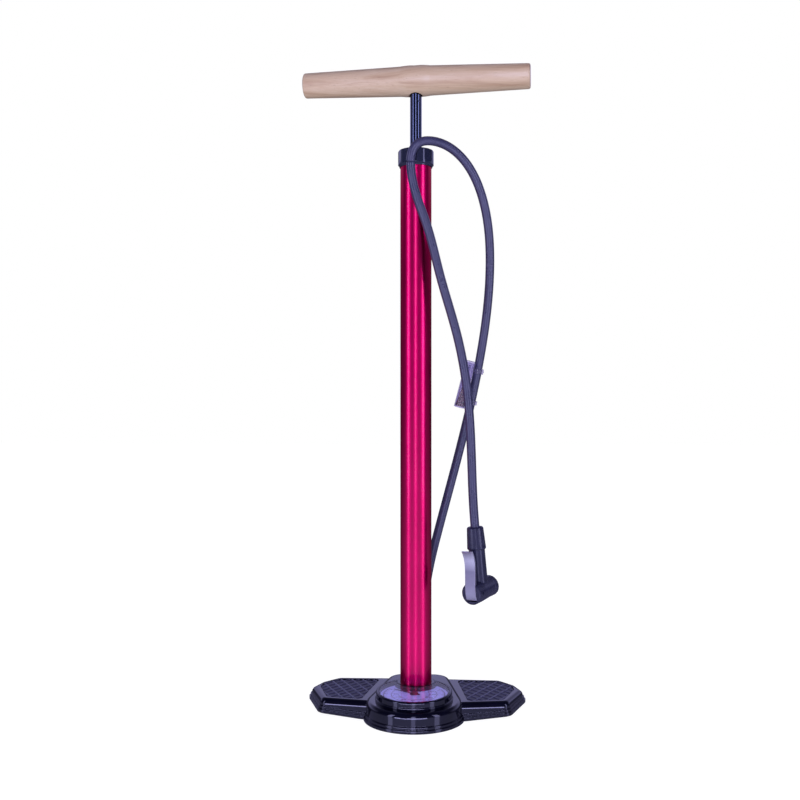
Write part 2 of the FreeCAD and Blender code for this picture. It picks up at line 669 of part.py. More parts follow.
def rod_stud():
    """Insert in the rod's lower end; its stud passes down through the piston head."""
    return fuse(rod(ROD_BORE_R - 0.02, ROD_BOTTOM + 0.05, 60), rod(STUD_R, 29.0, 47))


def hexagon(across, low, high):
    """Hexagonal prism, sized across its flats."""
    corners = [polar(across / math.sqrt(3), 60 * index) for index in range(6)]
    return prism(corners, low, high)


def piston_nut():
    """Lock nut under the piston head."""
    return hexagon(10.0, 29.2, 33.0).cut(rod(STUD_R + 0.02, 20, 40))


def piston_washer():
    """Washer between the nut and the piston head."""
    return ring(6.4, STUD_R + FIT_GAP, 33.1, 33.9)


def stop_bumper():
    """Rubber ring above the piston that softens the end of the stroke."""
    return ring(9.5, ROD_R + 0.02, ROD_BOTTOM + FIT_GAP, 52.0)


def turn_handle(shape):
    """Stand the handle at its rest angle about the rod."""
    return shape.rotated(V(0, 0, 0), UP, HANDLE_TURN)


def handle():
    """Turned wooden grip, crowned at the middle, tapering to rounded ends."""
    half = HANDLE_LENGTH / 2
    end_round = 2.2
    taper = (HANDLE_SHOULDER_R - HANDLE_END_R) / (half - CROWN_HALF)
    side = [V(-half, 0, 0), V(-half, 0, HANDLE_END_R - end_round)]
    edges = [Part.makeLine(*side)]
    rim_x = half - end_round
    rim_r = HANDLE_END_R - 0.05
    corner = V(-half + 0.64, 0, rim_r - 0.6)
    edges.append(Part.Arc(side[1], corner, V(-rim_x, 0, rim_r)).toShape())
    shoulder = V(-CROWN_HALF, 0, HANDLE_SHOULDER_R)
    edges.append(Part.makeLine(V(-rim_x, 0, rim_r), shoulder))
    crown = Part.BSplineCurve()
    crown_points = [shoulder, V(-12, 0, HANDLE_SHOULDER_R + 0.42), V(-7.5, 0, HANDLE_CROWN_R - 0.05),
                    V(0, 0, HANDLE_CROWN_R)]
    crown.interpolate(crown_points, InitialTangent=V(1, 0, taper), FinalTangent=V(1, 0, 0))
    edges.append(crown.toShape())
    half_wire = Part.Wire(edges)
    other = half_wire.mirror(V(0, 0, 0), V(1, 0, 0))
    axis_line = Part.makeLine(V(half, 0, 0), V(-half, 0, 0))
    wire = Part.Wire(Part.__sortEdges__(half_wire.Edges + other.Edges + [axis_line]))
    grip = Part.Face(wire).revolve(V(0, 0, 0), V(1, 0, 0), 360).translated(V(0, 0, HANDLE_Z))
    bottom = 600
    above = 700
    grip = grip.cut(rod(ROD_R + RUN_GAP, bottom, ROD_TOP + 0.05))
    grip = grip.cut(rod(7.5, bottom, HANDLE_Z - HANDLE_CROWN_R + 2.5))
    grip = grip.cut(rod(BOLT_R + 0.6, bottom, above)).cut(rod(7.2, COUNTERBORE, above))
    return turn_handle(grip)


def handle_insert():
    """Threaded insert in the rod's top, for the handle bolt."""
    return ring(ROD_BORE_R - 0.02, BOLT_R + 0.02, 625, ROD_TOP - FIT_GAP)


def handle_bolt():
    """Button-head bolt down through the grip."""
    seat = COUNTERBORE + 1.1
    profile = [(0, 0), (5.2, 0), (5.2, 0.8), (4.2, 2.3), (2.4, 2.95), (0, 3.0)]
    head = turned([(radius, seat + height) for radius, height in profile])
    bolt = fuse(head, rod(BOLT_R, 628, seat + 0.4))
    return bolt.cut(hexagon(3.0, seat + 1.0, seat + 5.0))


def handle_washer():
    """Washer under the bolt's head."""
    return ring(6.8, BOLT_R + 0.2, COUNTERBORE + 0.05, COUNTERBORE + 1.05)


# ---------------------------------------------------------------- hose
HOSE_PATH = [V(OUTLET.x, OUTLET.y, 21.1), V(3.6, 33.8, 50), V(10.9, 31.5, 132), V(22, 29.5, 180),
             V(47, 25, 275), V(67, 18, 368), V(75.9, 9, 461), V(68.7, 1, 521.5), V(48.3, -8, 561.5),
             V(33.2, -13, 573.3), V(15.3, -18, 577.9), V(7.5, -19.9, 576.8), V(1.9, -20.8, 573.6),
             V(-1.8, -21, 568.6), V(-3.5, -21, 562.5)]
TAIL_PATH = [HOSE_PIVOT, V(0.8, HOSE_FRONT_Y, 526), V(12.4, HOSE_FRONT_Y, 492), V(25.5, HOSE_FRONT_Y, 442.3),
             V(42.6, HOSE_FRONT_Y, 382), V(53.2, HOSE_FRONT_Y, 322), V(57.4, HOSE_FRONT_Y, 250),
             V(59.4, HOSE_FRONT_Y, 205), V(60.9, HOSE_FRONT_Y, 186)]


def sweep_round(curve, outer, inner=0.0, pieces=16):
    """Round bar, or hose with a bore, swept along a curve in a few equal lengths."""
    start = curve.value(curve.FirstParameter)
    heading = curve.tangent(curve.FirstParameter)[0]
    face = Part.Face(Part.Wire([Part.Circle(start, heading, outer).toShape()]))
    if inner:
        face = face.cut(Part.Face(Part.Wire([Part.Circle(start, heading, inner).toShape()])))
    span = (curve.LastParameter - curve.FirstParameter) / pieces
    marks = [curve.FirstParameter + span * index for index in range(pieces + 1)]
    spine = Part.Wire([curve.toShape(near, far) for near, far in zip(marks, marks[1:])])
    return spine.makePipe(face)


def smooth_curve(points, first, last):
    """Curve through points with given end directions."""
    curve = Part.BSplineCurve()
    curve.interpolate(points, InitialTangent=first, FinalTangent=last)
    return curve


def hose_curve():
    """Centre line of the fixed run: up from the base, over the top, down through the cap's notch."""
    end = V(HOSE_PIVOT.x, HOSE_FRONT_Y, HOSE_PIVOT.z + HOSE_R + 0.25)
    return smooth_curve(HOSE_PATH + [end], UP, V(0, 0, -1))


def hose():
    """Fixed run of the hose."""
    return sweep_round(hose_curve(), HOSE_R, HOSE_BORE_R)


def hose_tail():
    """Hanging run of the hose, free to swing from just under the cap."""
    curve = smooth_curve(TAIL_PATH, V(0, 0, -1), V(0.0775, 0, -0.997))
    knuckle = Part.makeSphere(HOSE_R, HOSE_PIVOT, UP, 0, 90)
    return fuse(sweep_round(curve, HOSE_R, HOSE_BORE_R), knuckle)


def hose_sleeve():
    """Crimped sleeve over the hose's lower end."""
    return ring(6.1, HOSE_R + 0.2, 21.1, 33.0, OUTLET.x, OUTLET.y)


# ---------------------------------------------------------------- accessory holder
HOLDER_TOP = V(56.5, 11.5, 357)
HOLDER_FOOT = V(44.0, 16.5, 309.5)
HOLDER_R = 5.6
HOLDER_BORE_R = 4.8


def holder_point(share):
    """Point on the holder's axis, 0 at its foot and 1 at its top."""
    return HOLDER_FOOT + (HOLDER_TOP - HOLDER_FOOT) * share


def nearest_on_hose(curve, height):
    """Point and direction of the hose's centre line where it rises past a height."""
    low, high = curve.FirstParameter, curve.parameter(V(75.9, 9, 461))
    for _ in range(40):
        middle = (low + high) / 2
        if curve.value(middle).z < height:
            low = middle
        else:
            high = middle
    return curve.value(low), curve.tangent(low)[0]


def accessory_holder():
    """Clear sleeve, open at its foot, with two clips round the hose."""
    curve = hose_curve()
    body = [bar(HOLDER_R, HOLDER_FOOT, HOLDER_TOP)]
    clip_r = HOSE_R + 1.7
    ridge_half = 0.45
    for share, height, half_width, ridges in ((0.8, 347, 2.6, (-1.9, 0.0, 1.9)), (0.12, 314.5, 2.0, ())):
        centre, heading = nearest_on_hose(curve, height)
        half = heading * half_width
        body.append(bar(clip_r, centre - half, centre + half))
        body.append(bar(1.8, holder_point(share), centre))
        for offset in ridges:
            low = centre + heading * (offset - ridge_half)
            body.append(bar(clip_r + 0.5, low, low + heading * (2 * ridge_half)))
    holder = fuse(*body)
    holder = holder.cut(bar(HOLDER_BORE_R, holder_point(-0.05), holder_point(0.96)))
    return holder.cut(sweep_round(curve, HOSE_R + 0.1))


def cone_adapter():
    """Brass-coloured cone nozzle kept in the foot of the holder."""
    axis = (HOLDER_TOP - HOLDER_FOOT).normalize()
    outline = [(1.0, 1.5), (4.5, 1.5), (4.5, 5.0), (3.9, 5.6), (2.4, 21.0), (1.0, 22.0)]
    return turned(outline, HOLDER_FOOT, axis)


def ball_needle():
    """Inflating needle for balls, kept above the cone: threaded base and thin tube."""
    axis = (HOLDER_TOP - HOLDER_FOOT).normalize()
    outline = [(0, 24), (3.2, 24), (3.2, 27), (4.4, 27), (4.4, 31), (1.6, 31.5), (1.0, 32.4),
               (0.9, 45.0), (0, 45.4)]
    return turned(outline, HOLDER_FOOT, axis)


# ---------------------------------------------------------------- pump head
def head_frame():
    """Directions of the head: along the barrel to the tyre valve, up the stem, along the lever's pin."""
    along = (HEAD_VALVE_END - HEAD_LEVER_END).normalize()
    stem = (HEAD_NUT_TOP - HEAD_STEM_FOOT).normalize()
    pin = along.cross(stem).normalize()
    return along, stem, pin


def at_head(shape):
    """Place a piece made in the lever's frame: X along the barrel, Y along the pin, Z up beside the stem."""
    along, stem, pin = head_frame()
    up = along.cross(pin) * -1
    matrix = FreeCAD.Matrix(along.x, -pin.x, up.x, HEAD_LEVER_END.x,
                            along.y, -pin.y, up.y, HEAD_LEVER_END.y,
                            along.z, -pin.z, up.z, HEAD_LEVER_END.z, 0, 0, 0, 1)
    placed = shape.copy()
    placed.Placement = FreeCAD.Placement(matrix).multiply(shape.Placement)
    return placed


def lying(radius, start, end):
    """Cylinder along the head's barrel, in the lever's frame."""
    return bar(radius, V(start, 0, 0), V(end, 0, 0))


def head_body():
    """Moulded head: barrel across the foot of the stem, slotted for the lever."""
    back = -6.5
    cap_seat = HEAD_LENGTH - 5.2
    end = HEAD_LENGTH - 0.5
    profile = [(0, back), (HEAD_R - 1.2, back), (HEAD_R - 0.3, back + 0.5), (HEAD_R, back + 1.4), (HEAD_R, 6),
               (10.2, cap_seat), (8.6, cap_seat), (8.6, end), (0, end)]
    shell = at_head(turned(profile, V(0, 0, 0), V(1, 0, 0)))
    stem = head_frame()[1]
    stem_top = HEAD_NUT_TOP - stem * 6.0
    neck = Part.makeCone(8.6, 7.9, HEAD_STEM_FOOT.distanceToPoint(stem_top), HEAD_STEM_FOOT, stem)
    body = fuse(shell, neck)
    slot = block((back - 2, -CHEEK_HALF, -7.6), (5.0, CHEEK_HALF, 7.0))
    mouth = block((back - 2, -CHEEK_HALF, 0), (-2.4, CHEEK_HALF, 14))
    lower_half = block((-14, -9, -14), (14, 9, 0))
    swing = bar(FOOT_SWING_R, V(0, -CHEEK_HALF, 0), V(0, CHEEK_HALF, 0)).common(lower_half)
    body = body.cut(at_head(slot)).cut(at_head(mouth)).cut(at_head(swing))
    body = body.cut(at_head(lying(7.4, 4.4, HEAD_LENGTH + 5)))
    body = body.cut(at_head(bar(PIN_R + RUN_GAP, V(0, -20, 0), V(0, 20, 0))))
    socket = bar(5.2, HEAD_NUT_TOP - stem * 22, HEAD_NUT_TOP + stem * 5)
    airway = bar(1.6, HEAD_STEM_FOOT - stem * 2, HEAD_NUT_TOP)
    return body.cut(socket).cut(airway)


def cam_outline():
    """Plan of the lever's cam: a spiral whose reach grows steadily over the quarter turn."""
    points = []
    for degrees in range(-30, 121, 15):
        reach = CAM_REST_R + PLUNGER_TRAVEL * max(0.0, min(degrees, 95)) / 90.0
        angle = math.radians(-degrees)
        points.append((reach * math.cos(angle), reach * math.sin(angle)))
    return points


def head_lever():
    """Thumb lever: cam round the pin, and a curved strip that stands up beside the stem."""
    corners = [V(x, -LEVER_HALF, z) for x, z in cam_outline()]
    corners = [V(-4.2, -LEVER_HALF, -4.8)] + corners[::-1] + [V(-4.2, -LEVER_HALF, 4.0)]
    cam = Part.Face(Part.makePolygon(corners + corners[:1])).extrude(V(0, 2 * LEVER_HALF, 0))
    thick = 2.0
    profile = [(-6.2, -6.2), (-6.9, 2.5), (-5.2, 13.0), (-3.5, 22.0), (-2.7, 31.0), (-3.7, 37.6),
               (-5.8, 42.5)]
    inner = Part.BSplineCurve()
    inner.interpolate([V(x + thick, 0, z) for x, z in profile])
    outer = Part.BSplineCurve()
    outer.interpolate([V(x, 0, z) for x, z in profile])
    foot = Part.makeLine(outer.StartPoint, inner.StartPoint)
    tip = Part.makeLine(inner.EndPoint, outer.EndPoint)
    face = Part.Face(Part.Wire([foot, inner.toShape(), tip, outer.toShape()]))
    strip = face.translated(V(0, -LEVER_HALF, 0)).extrude(V(0, 2 * LEVER_HALF, 0))
    neck = block((-5.6, -LEVER_HALF, -4.8), (-4.0, LEVER_HALF, 4.0))
    lever = fuse(cam, neck, strip)
    return at_head(lever.cut(bar(PIN_R + 0.06, V(0, -20, 0), V(0, 20, 0))))


def lever_pin():
    """Steel pin of the lever, across the head."""
    return at_head(bar(PIN_R, V(0, -9.0, 0), V(0, 9.0, 0)))


def plunger():
    """Plunger between the cam and the grommet."""
    start = CAM_REST_R + 0.35
    end = HEAD_LENGTH - VALVE_LENGTH - 1.0 - PLUNGER_TRAVEL
    outline = [(1.2, start), (6.0, start), (6.9, start + 0.6), (6.9, start + 2.2), (3.6, start + 3.0),
               (3.6, end - 2.0), (6.9, end - 1.6), (6.9, end), (1.2, end)]
    return at_head(turned(outline, V(0, 0, 0), V(1, 0, 0)))


def valve_grommet():
    """Rubber sleeve that grips the tyre valve."""
    start = HEAD_LENGTH - VALVE_LENGTH - 0.6
    body = lying(7.3, start, HEAD_LENGTH - 0.6).cut(lying(VALVE_R, start - 1, HEAD_LENGTH + 1))
    return at_head(body)


def head_cap():
    """Ring cap that holds the grommet in."""
    outline = [(9.9, -5.0), (10.4, -4.6), (10.4, 1.2), (9.2, 2.4), (4.9, 2.4), (4.9, -0.3), (8.7, -0.3),
               (8.7, -5.0)]
    shifted = [(r, x + HEAD_LENGTH) for r, x in outline]
    cap = turned(shifted, V(0, 0, 0), V(1, 0, 0))
    groove = lying(0.9, HEAD_LENGTH - 3.6, HEAD_LENGTH + 3.0).translated(V(0, 10.9, 0))
    grooves = 12
    for index in range(grooves):
        cap = cap.cut(groove.rotated(V(0, 0, 0), V(1, 0, 0), 360.0 * (index + 0.5) / grooves))
    return at_head(cap)


def hose_nut():
    """Tapered nut over the stem's top and the hose's end, fluted for the fingers."""
    stem = head_frame()[1]
    foot = HEAD_NUT_TOP - stem * NUT_LENGTH
    shoulder = NUT_LENGTH - 5.5
    outline = [(8.75, 0), (9.5, 1.2), (8.3, NUT_LENGTH - 1.2), (7.4, NUT_LENGTH), (HOSE_R + 0.15, NUT_LENGTH),
               (HOSE_R + 0.15, shoulder), (8.12, shoulder), (8.3, 0)]
    nut = turned(outline)
    flute = bar(0.5, V(9.72, 0, 3.0), V(8.7, 0, NUT_LENGTH - 2.5))
    flutes = 20
    for index in range(flutes):
        nut = nut.cut(flute.rotated(V(0, 0, 0), UP, 360.0 * index / flutes))
    nut.Placement = FreeCAD.Placement(foot, FreeCAD.Rotation(UP, stem))
    return nut


def hose_barb():
    """Brass barb in the hose's end, seated in the head's stem."""
    stem = head_frame()[1]
    outline = [(1.2, -21.9), (5.15, -21.9), (5.15, -8.0), (2.35, -7.0), (2.35, 4.0), (1.2, 4.6)]
    return turned(outline, HEAD_NUT_TOP, stem)


# ---------------------------------------------------------------- assembly
def build():
    """Make every sub-part."""
    keep("base_shell", base_shell())
    keep("base_plate", base_plate())
    keep("base_screws", base_screws())
    keep("wing_feet", wing_feet())
    right_pad, left_pad = tread_pads()
    keep("tread_pad_right", right_pad)
    keep("tread_pad_left", left_pad)
    keep("barrel_collar", barrel_collar())
    keep("valve_block", valve_block())
    keep("barrel_seal_ring", barrel_seal_ring())
    disc, cage, spring = check_valve()
    keep("check_valve_disc", disc)
    keep("check_valve_cage", cage)
    keep("check_valve_spring", spring)
    keep("hose_outlet", hose_outlet())
    keep("gauge_case", gauge_case())
    keep("gauge_bezel", gauge_bezel())
    keep("gauge_lens", gauge_lens())
    keep("gauge_dial", gauge_dial())
    keep("dial_screws", dial_screws())
    keep("gauge_needle", gauge_needle())
    keep("pinion_arbor", pinion_arbor())
    keep("sector_gear", sector_gear())
    tube = place_gauge(bourdon_tube())
    keep("bourdon_tube", tube)
    keep("gauge_socket", gauge_socket(tube))
    keep("bourdon_link", bourdon_link())
    back, front = movement_plates()
    keep("movement_back_plate", back)
    keep("movement_front_plate", front)
    keep("hairspring", hairspring())
    keep("barrel_tube", barrel_tube())
    keep("top_cap", top_cap())
    keep("rod_bushing", rod_bushing())
    keep("rod_wiper", rod_wiper())
    keep("piston_head", piston_head())
    keep("piston_seal", piston_seal())
    keep("piston_rod", piston_rod())
    keep("rod_stud", rod_stud())
    keep("piston_nut", piston_nut())
    keep("piston_washer", piston_washer())
    keep("stop_bumper", stop_bumper())
    keep("handle", handle())
    keep("handle_insert", handle_insert())
    keep("handle_bolt", handle_bolt())
    keep("handle_washer", handle_washer())
    keep("hose", hose())
    keep("hose_sleeve", hose_sleeve())
    keep("hose_tail", hose_tail())
    keep("accessory_holder", accessory_holder())
    keep("cone_adapter", cone_adapter())
    keep("ball_needle", ball_needle())
    keep("head_body", head_body())
    keep("head_lever", head_lever())
    keep("lever_pin", lever_pin())
    keep("plunger", plunger())
    keep("valve_grommet", valve_grommet())
    keep("head_cap", head_cap())
    keep("hose_nut", hose_nut())
    keep("hose_barb", hose_barb())


build()
os.makedirs("parts", exist_ok=True)
for name, shape in parts.items():
    shape.exportStep("parts/" + name + ".step")
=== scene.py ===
"""Looks of the floor bike pump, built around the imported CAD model. All lengths are metres."""

import json
import math

import bmesh
import bpy
import numpy as np
from mathutils import Matrix, Vector


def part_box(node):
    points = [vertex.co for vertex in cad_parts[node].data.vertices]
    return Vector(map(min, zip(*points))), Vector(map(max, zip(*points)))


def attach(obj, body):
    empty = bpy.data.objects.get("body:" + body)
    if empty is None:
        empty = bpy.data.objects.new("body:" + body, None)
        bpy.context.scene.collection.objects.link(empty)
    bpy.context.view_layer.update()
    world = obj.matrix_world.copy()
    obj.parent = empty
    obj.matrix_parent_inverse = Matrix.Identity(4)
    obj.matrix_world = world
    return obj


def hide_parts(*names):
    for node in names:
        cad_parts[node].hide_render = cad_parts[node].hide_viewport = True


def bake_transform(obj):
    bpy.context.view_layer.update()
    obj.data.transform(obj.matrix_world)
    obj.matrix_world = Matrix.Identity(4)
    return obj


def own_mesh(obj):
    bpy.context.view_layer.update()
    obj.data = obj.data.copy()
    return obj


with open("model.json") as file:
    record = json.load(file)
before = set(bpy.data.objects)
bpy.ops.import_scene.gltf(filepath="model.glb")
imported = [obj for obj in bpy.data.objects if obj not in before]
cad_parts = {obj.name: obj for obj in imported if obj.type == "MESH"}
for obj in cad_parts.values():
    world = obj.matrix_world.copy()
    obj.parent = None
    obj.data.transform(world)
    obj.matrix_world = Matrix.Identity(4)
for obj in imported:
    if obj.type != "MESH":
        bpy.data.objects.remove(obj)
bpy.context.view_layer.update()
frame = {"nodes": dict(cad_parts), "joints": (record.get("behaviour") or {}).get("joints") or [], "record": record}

MM = 0.001
nodes = frame["nodes"]
joints = {joint["name"]: joint for joint in frame["joints"]}
node_slots = {entry["node"]: entry["material_slot"] for entry in frame["record"]["subparts"]}


# ---------------------------------------------------------------- material kit
class Shader:
    """A node material under construction: one Principled surface and the detail that drives it."""

    def __init__(self, name, colour, roughness, metallic=0.0, coat=0.0):
        self.material = bpy.data.materials.new(name)
        self.material.use_nodes = True
        self.tree = self.material.node_tree
        self.surface = self.tree.nodes["Principled BSDF"]
        self.out = self.tree.nodes["Material Output"]
        self.set("Base Color", (*colour, 1.0))
        self.set("Roughness", roughness)
        self.set("Metallic", metallic)
        self.set("Coat Weight", coat)
        self.place = self.add("ShaderNodeTexCoord").outputs["Object"]

    def set(self, name, value):
        self.surface.inputs[name].default_value = value

    def add(self, kind, **settings):
        node = self.tree.nodes.new(kind)
        for key, value in settings.items():
            setattr(node, key, value)
        return node

    def join(self, source, target):
        self.tree.links.new(source, target)

    def stretched(self, scale, turn=(0.0, 0.0, 0.0)):
        """Object position, stretched and turned."""
        mapping = self.add("ShaderNodeMapping")
        mapping.inputs["Scale"].default_value = scale
        mapping.inputs["Rotation"].default_value = turn
        self.join(self.place, mapping.inputs["Vector"])
        return mapping.outputs["Vector"]

    def noise(self, scale, detail=4.0, rough=0.55, place=None, warp=0.0):
        """Fractal noise, 0 to 1."""
        node = self.add("ShaderNodeTexNoise")
        node.inputs["Scale"].default_value = scale
        node.inputs["Detail"].default_value = detail
        node.inputs["Roughness"].default_value = rough
        node.inputs["Distortion"].default_value = warp
        self.join(place or self.place, node.inputs["Vector"])
        return node.outputs["Fac"]

    def remap(self, value, low, high, to_low, to_high):
        """Carry one range onto another, clamped."""
        node = self.add("ShaderNodeMapRange")
        node.inputs["From Min"].default_value = low
        node.inputs["From Max"].default_value = high
        node.inputs["To Min"].default_value = to_low
        node.inputs["To Max"].default_value = to_high
        self.join(value, node.inputs["Value"])
        return node.outputs["Result"]

    def maths(self, operation, a, b):
        """One sum of two values or sockets."""
        node = self.add("ShaderNodeMath", operation=operation)
        for index, value in enumerate((a, b)):
            if isinstance(value, (int, float)):
                node.inputs[index].default_value = value
            else:
                self.join(value, node.inputs[index])
        return node.outputs["Value"]

    def ramp(self, value, stops):
        """Colour along a list of (place, colour) stops."""
        node = self.add("ShaderNodeValToRGB")
        elements = node.color_ramp.elements
        while len(elements) < len(stops):
            elements.new(0.5)
        for element, (place, colour) in zip(elements, stops):
            element.position = place
            element.color = (*colour, 1.0)
        self.join(value, node.inputs["Fac"])
        return node.outputs["Color"]

    def mix(self, share, a, b):
        """Blend of two colours."""
        node = self.add("ShaderNodeMix", data_type="RGBA")
        for socket, value in ((node.inputs[0], share), (node.inputs[6], a), (node.inputs[7], b)):
            if isinstance(value, (int, float)):
                socket.default_value = value
            elif isinstance(value, tuple):
                socket.default_value = (*value, 1.0)
            else:
                self.join(value, socket)
        return node.outputs[2]

    def edge_mask(self, radius):
        """1 on sharp edges, 0 on flat faces, from how far rounding would turn the surface."""
        unturned, turned = 0.995, 0.90
        rounded = self.add("ShaderNodeBevel", samples=4)
        rounded.inputs["Radius"].default_value = radius
        geometry = self.add("ShaderNodeNewGeometry")
        dot = self.add("ShaderNodeVectorMath", operation="DOT_PRODUCT")
        self.join(rounded.outputs["Normal"], dot.inputs[0])
        self.join(geometry.outputs["Normal"], dot.inputs[1])
        return self.remap(dot.outputs["Value"], unturned, turned, 0.0, 1.0)

    def bump(self, *layers, soften=0.0):
        """Surface relief from (height, depth in metres) layers, over softly rounded edges."""
        normal = None
        if soften:
            rounded = self.add("ShaderNodeBevel", samples=6)
            rounded.inputs["Radius"].default_value = soften
            normal = rounded.outputs["Normal"]
        for height, depth in layers:
            node = self.add("ShaderNodeBump")
            node.inputs["Distance"].default_value = depth
            self.join(height, node.inputs["Height"])
            if normal is not None:
                self.join(normal, node.inputs["Normal"])
            normal = node.outputs["Normal"]
        if normal is not None:
            self.join(normal, self.surface.inputs["Normal"])

    def tint(self, *colour):
        """Colour of the clear reflection."""
        self.set("Specular Tint", (*colour, 1.0))

    def colour(self, socket):
        self.join(socket, self.surface.inputs["Base Color"])

    def roughness(self, socket):
        self.join(socket, self.surface.inputs["Roughness"])


# ---------------------------------------------------------------- materials
TREAD_DROP = 1.0 * MM       # the hollows lie this far below the pad's top
TREAD_RELIEF = 1.25 * MM    # the ribs rise this far out of the hollows
PALER_FROM = 0.3            # gloss black turns paler between these heights, under the top cap; this paler tone is painted light
PALER_FULL = 0.5


def gloss_black():
    """Glossy moulded nylon, blue-black, with faint smears; sharp edges are painted paler as a painted highlight,
    and the cap, high up, is painted paler as painted light.
    """
    s = Shader("gloss_black", (0.008, 0.008, 0.018), 0.12)
    smear = s.noise(60, 5, 0.6)
    tone = s.ramp(smear, [(0.3, (0.0016, 0.0016, 0.006)), (0.7, (0.0034, 0.0034, 0.012))])
    # Painted light: the same black is painted paler with height, so the top cap looks more lit.
    position = s.add("ShaderNodeSeparateXYZ")
    s.join(s.place, position.inputs[0])
    painted_light_high_up = s.remap(position.outputs["Z"], PALER_FROM, PALER_FULL, 0.0, 1.0)
    tone = s.mix(painted_light_high_up, tone, (0.016, 0.018, 0.040))
    # Sharp edges are painted paler: a painted edge highlight.
    s.colour(s.mix(s.maths("MULTIPLY", s.edge_mask(0.5 * MM), 0.35), tone, (0.02, 0.02, 0.035)))
    s.tint(0.74, 0.74, 1.0)
    s.roughness(s.remap(s.noise(140, 6, 0.65), 0.3, 0.75, 0.03, 0.10))
    s.bump((s.noise(900, 3, 0.6), 0.004 * MM), (s.noise(35, 2), 0.04 * MM), soften=0.6 * MM)
    return s.material


def underside_black():
    """Matt moulded plastic of the hidden parts."""
    s = Shader("underside_black", (0.02, 0.02, 0.024), 0.55)
    s.colour(s.ramp(s.noise(90, 4), [(0.3, (0.015, 0.015, 0.019)), (0.7, (0.028, 0.028, 0.034))]))
    s.roughness(s.remap(s.noise(200, 4), 0.3, 0.7, 0.45, 0.65))
    s.bump((s.noise(1500, 3, 0.7), 0.03 * MM), soften=0.3 * MM)
    return s.material


def tread_black():
    """Moulded tread: satin with fine grain; the hollows are painted dark as shade and the ribs are painted greyer
    as a highlight.
    """
    s = Shader("tread_black", (0.014, 0.014, 0.026), 0.38)
    s.tint(0.85, 0.85, 1.0)
    speck = s.noise(700, 4, 0.7)
    floor_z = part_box("tread_pad_left")[1].z - TREAD_DROP
    position = s.add("ShaderNodeSeparateXYZ")
    s.join(s.place, position.inputs[0])
    # Painted shade and light: the colour runs from dark in the hollows to greyer on the rib tops, by height.
    ridge = s.remap(position.outputs["Z"], floor_z, floor_z + TREAD_RELIEF, 0.0, 1.0)
    hollow = s.ramp(speck, [(0.3, (0.018, 0.018, 0.045)), (0.7, (0.034, 0.034, 0.078))])
    painted_lit_ribs = s.ramp(speck, [(0.3, (0.115, 0.115, 0.215)), (0.7, (0.175, 0.175, 0.300))])
    s.colour(s.mix(s.maths("POWER", ridge, 1.6), hollow, painted_lit_ribs))
    s.roughness(s.remap(speck, 0.3, 0.7, 0.30, 0.48))
    s.bump((speck, 0.03 * MM))
    return s.material


def barrel_red():
    """Red anodised aluminium: drawn lines along the tube, satin, with slight colour drift."""
    s = Shader("barrel_red", (0.60, 0.001, 0.10), 0.3, metallic=1.0, coat=0.30)
    s.set("Coat Roughness", 0.06)
    s.tint(0.75, 0.05, 0.25)
    lines = s.noise(1.0, 4, 0.6, place=s.stretched((1600, 1600, 14)))
    drift = s.noise(18, 3, 0.5)
    s.colour(s.mix(s.remap(drift, 0.35, 0.65, 0.0, 1.0), (0.76, 0.0006, 0.130), (0.66, 0.0004, 0.110)))
    s.roughness(s.remap(lines, 0.3, 0.7, 0.29, 0.35))
    s.bump((lines, 0.0006 * MM), (s.noise(2600, 2), 0.0005 * MM))
    return s.material


def rod_black():
    """Black lacquered steel rod."""
    s = Shader("rod_black", (0.04, 0.045, 0.12), 0.14, metallic=1.0)
    lines = s.noise(1.0, 3, 0.5, place=s.stretched((900, 900, 9)))
    s.colour(s.ramp(lines, [(0.3, (0.066, 0.080, 0.150)), (0.7, (0.090, 0.106, 0.195))]))
    s.roughness(s.remap(lines, 0.3, 0.7, 0.09, 0.15))
    s.bump((lines, 0.0008 * MM), soften=0.2 * MM)
    return s.material


def handle_wood():
    """Pale ash: fine grain along the grip, darker growth bands, short dark pores, satin lacquer."""
    s = Shader("handle_wood", (0.62, 0.42, 0.27), 0.36, coat=0.25)
    turn = (0.0, 0.0, math.radians(4.5))
    along = s.stretched((5, 60, 60), turn)
    bands = s.noise(1.6, 3, 0.55, place=along, warp=0.6)
    fibre = s.noise(1.0, 5, 0.7, place=s.stretched((28, 900, 900), turn))
    pores = s.noise(1.0, 2, 0.5, place=s.stretched((90, 1500, 1500), turn))
    base = s.ramp(bands, [(0.30, (0.42, 0.285, 0.182)), (0.45, (0.56, 0.415, 0.28)),
                          (0.58, (0.60, 0.46, 0.325)), (0.74, (0.48, 0.34, 0.223))])
    s.tint(0.85, 0.85, 1.0)
    fine = s.mix(s.remap(fibre, 0.35, 0.7, 0.0, 0.45), base, (0.44, 0.27, 0.165))
    dark = s.remap(pores, 0.66, 0.74, 0.0, 0.55)
    s.colour(s.mix(dark, fine, (0.20, 0.105, 0.06)))
    s.roughness(s.remap(fibre, 0.3, 0.7, 0.30, 0.46))
    s.bump((fibre, 0.05 * MM), (pores, -0.05 * MM))
    return s.material


def metal(name, colour, rough):
    """Worked metal with fine tool marks and small stains; sharp edges are painted brighter as a painted highlight.
    """
    s = Shader(name, colour, rough, metallic=1.0)
    marks = s.noise(1.0, 4, 0.6, place=s.stretched((300, 300, 300)))
    stain = s.noise(70, 4, 0.6)
    dull = tuple(0.72 * channel for channel in colour)
    tone = s.mix(s.remap(stain, 0.35, 0.7, 0.0, 1.0), colour, dull)
    bright = tuple(min(1.0, 1.25 * channel) for channel in colour)
    # Sharp edges are painted brighter: a painted edge highlight.
    s.colour(s.mix(s.maths("MULTIPLY", s.edge_mask(0.15 * MM), 0.6), tone, bright))
    s.roughness(s.remap(marks, 0.3, 0.7, rough * 0.75, rough * 1.3))
    s.bump((marks, 0.01 * MM), soften=0.12 * MM)
    return s.material


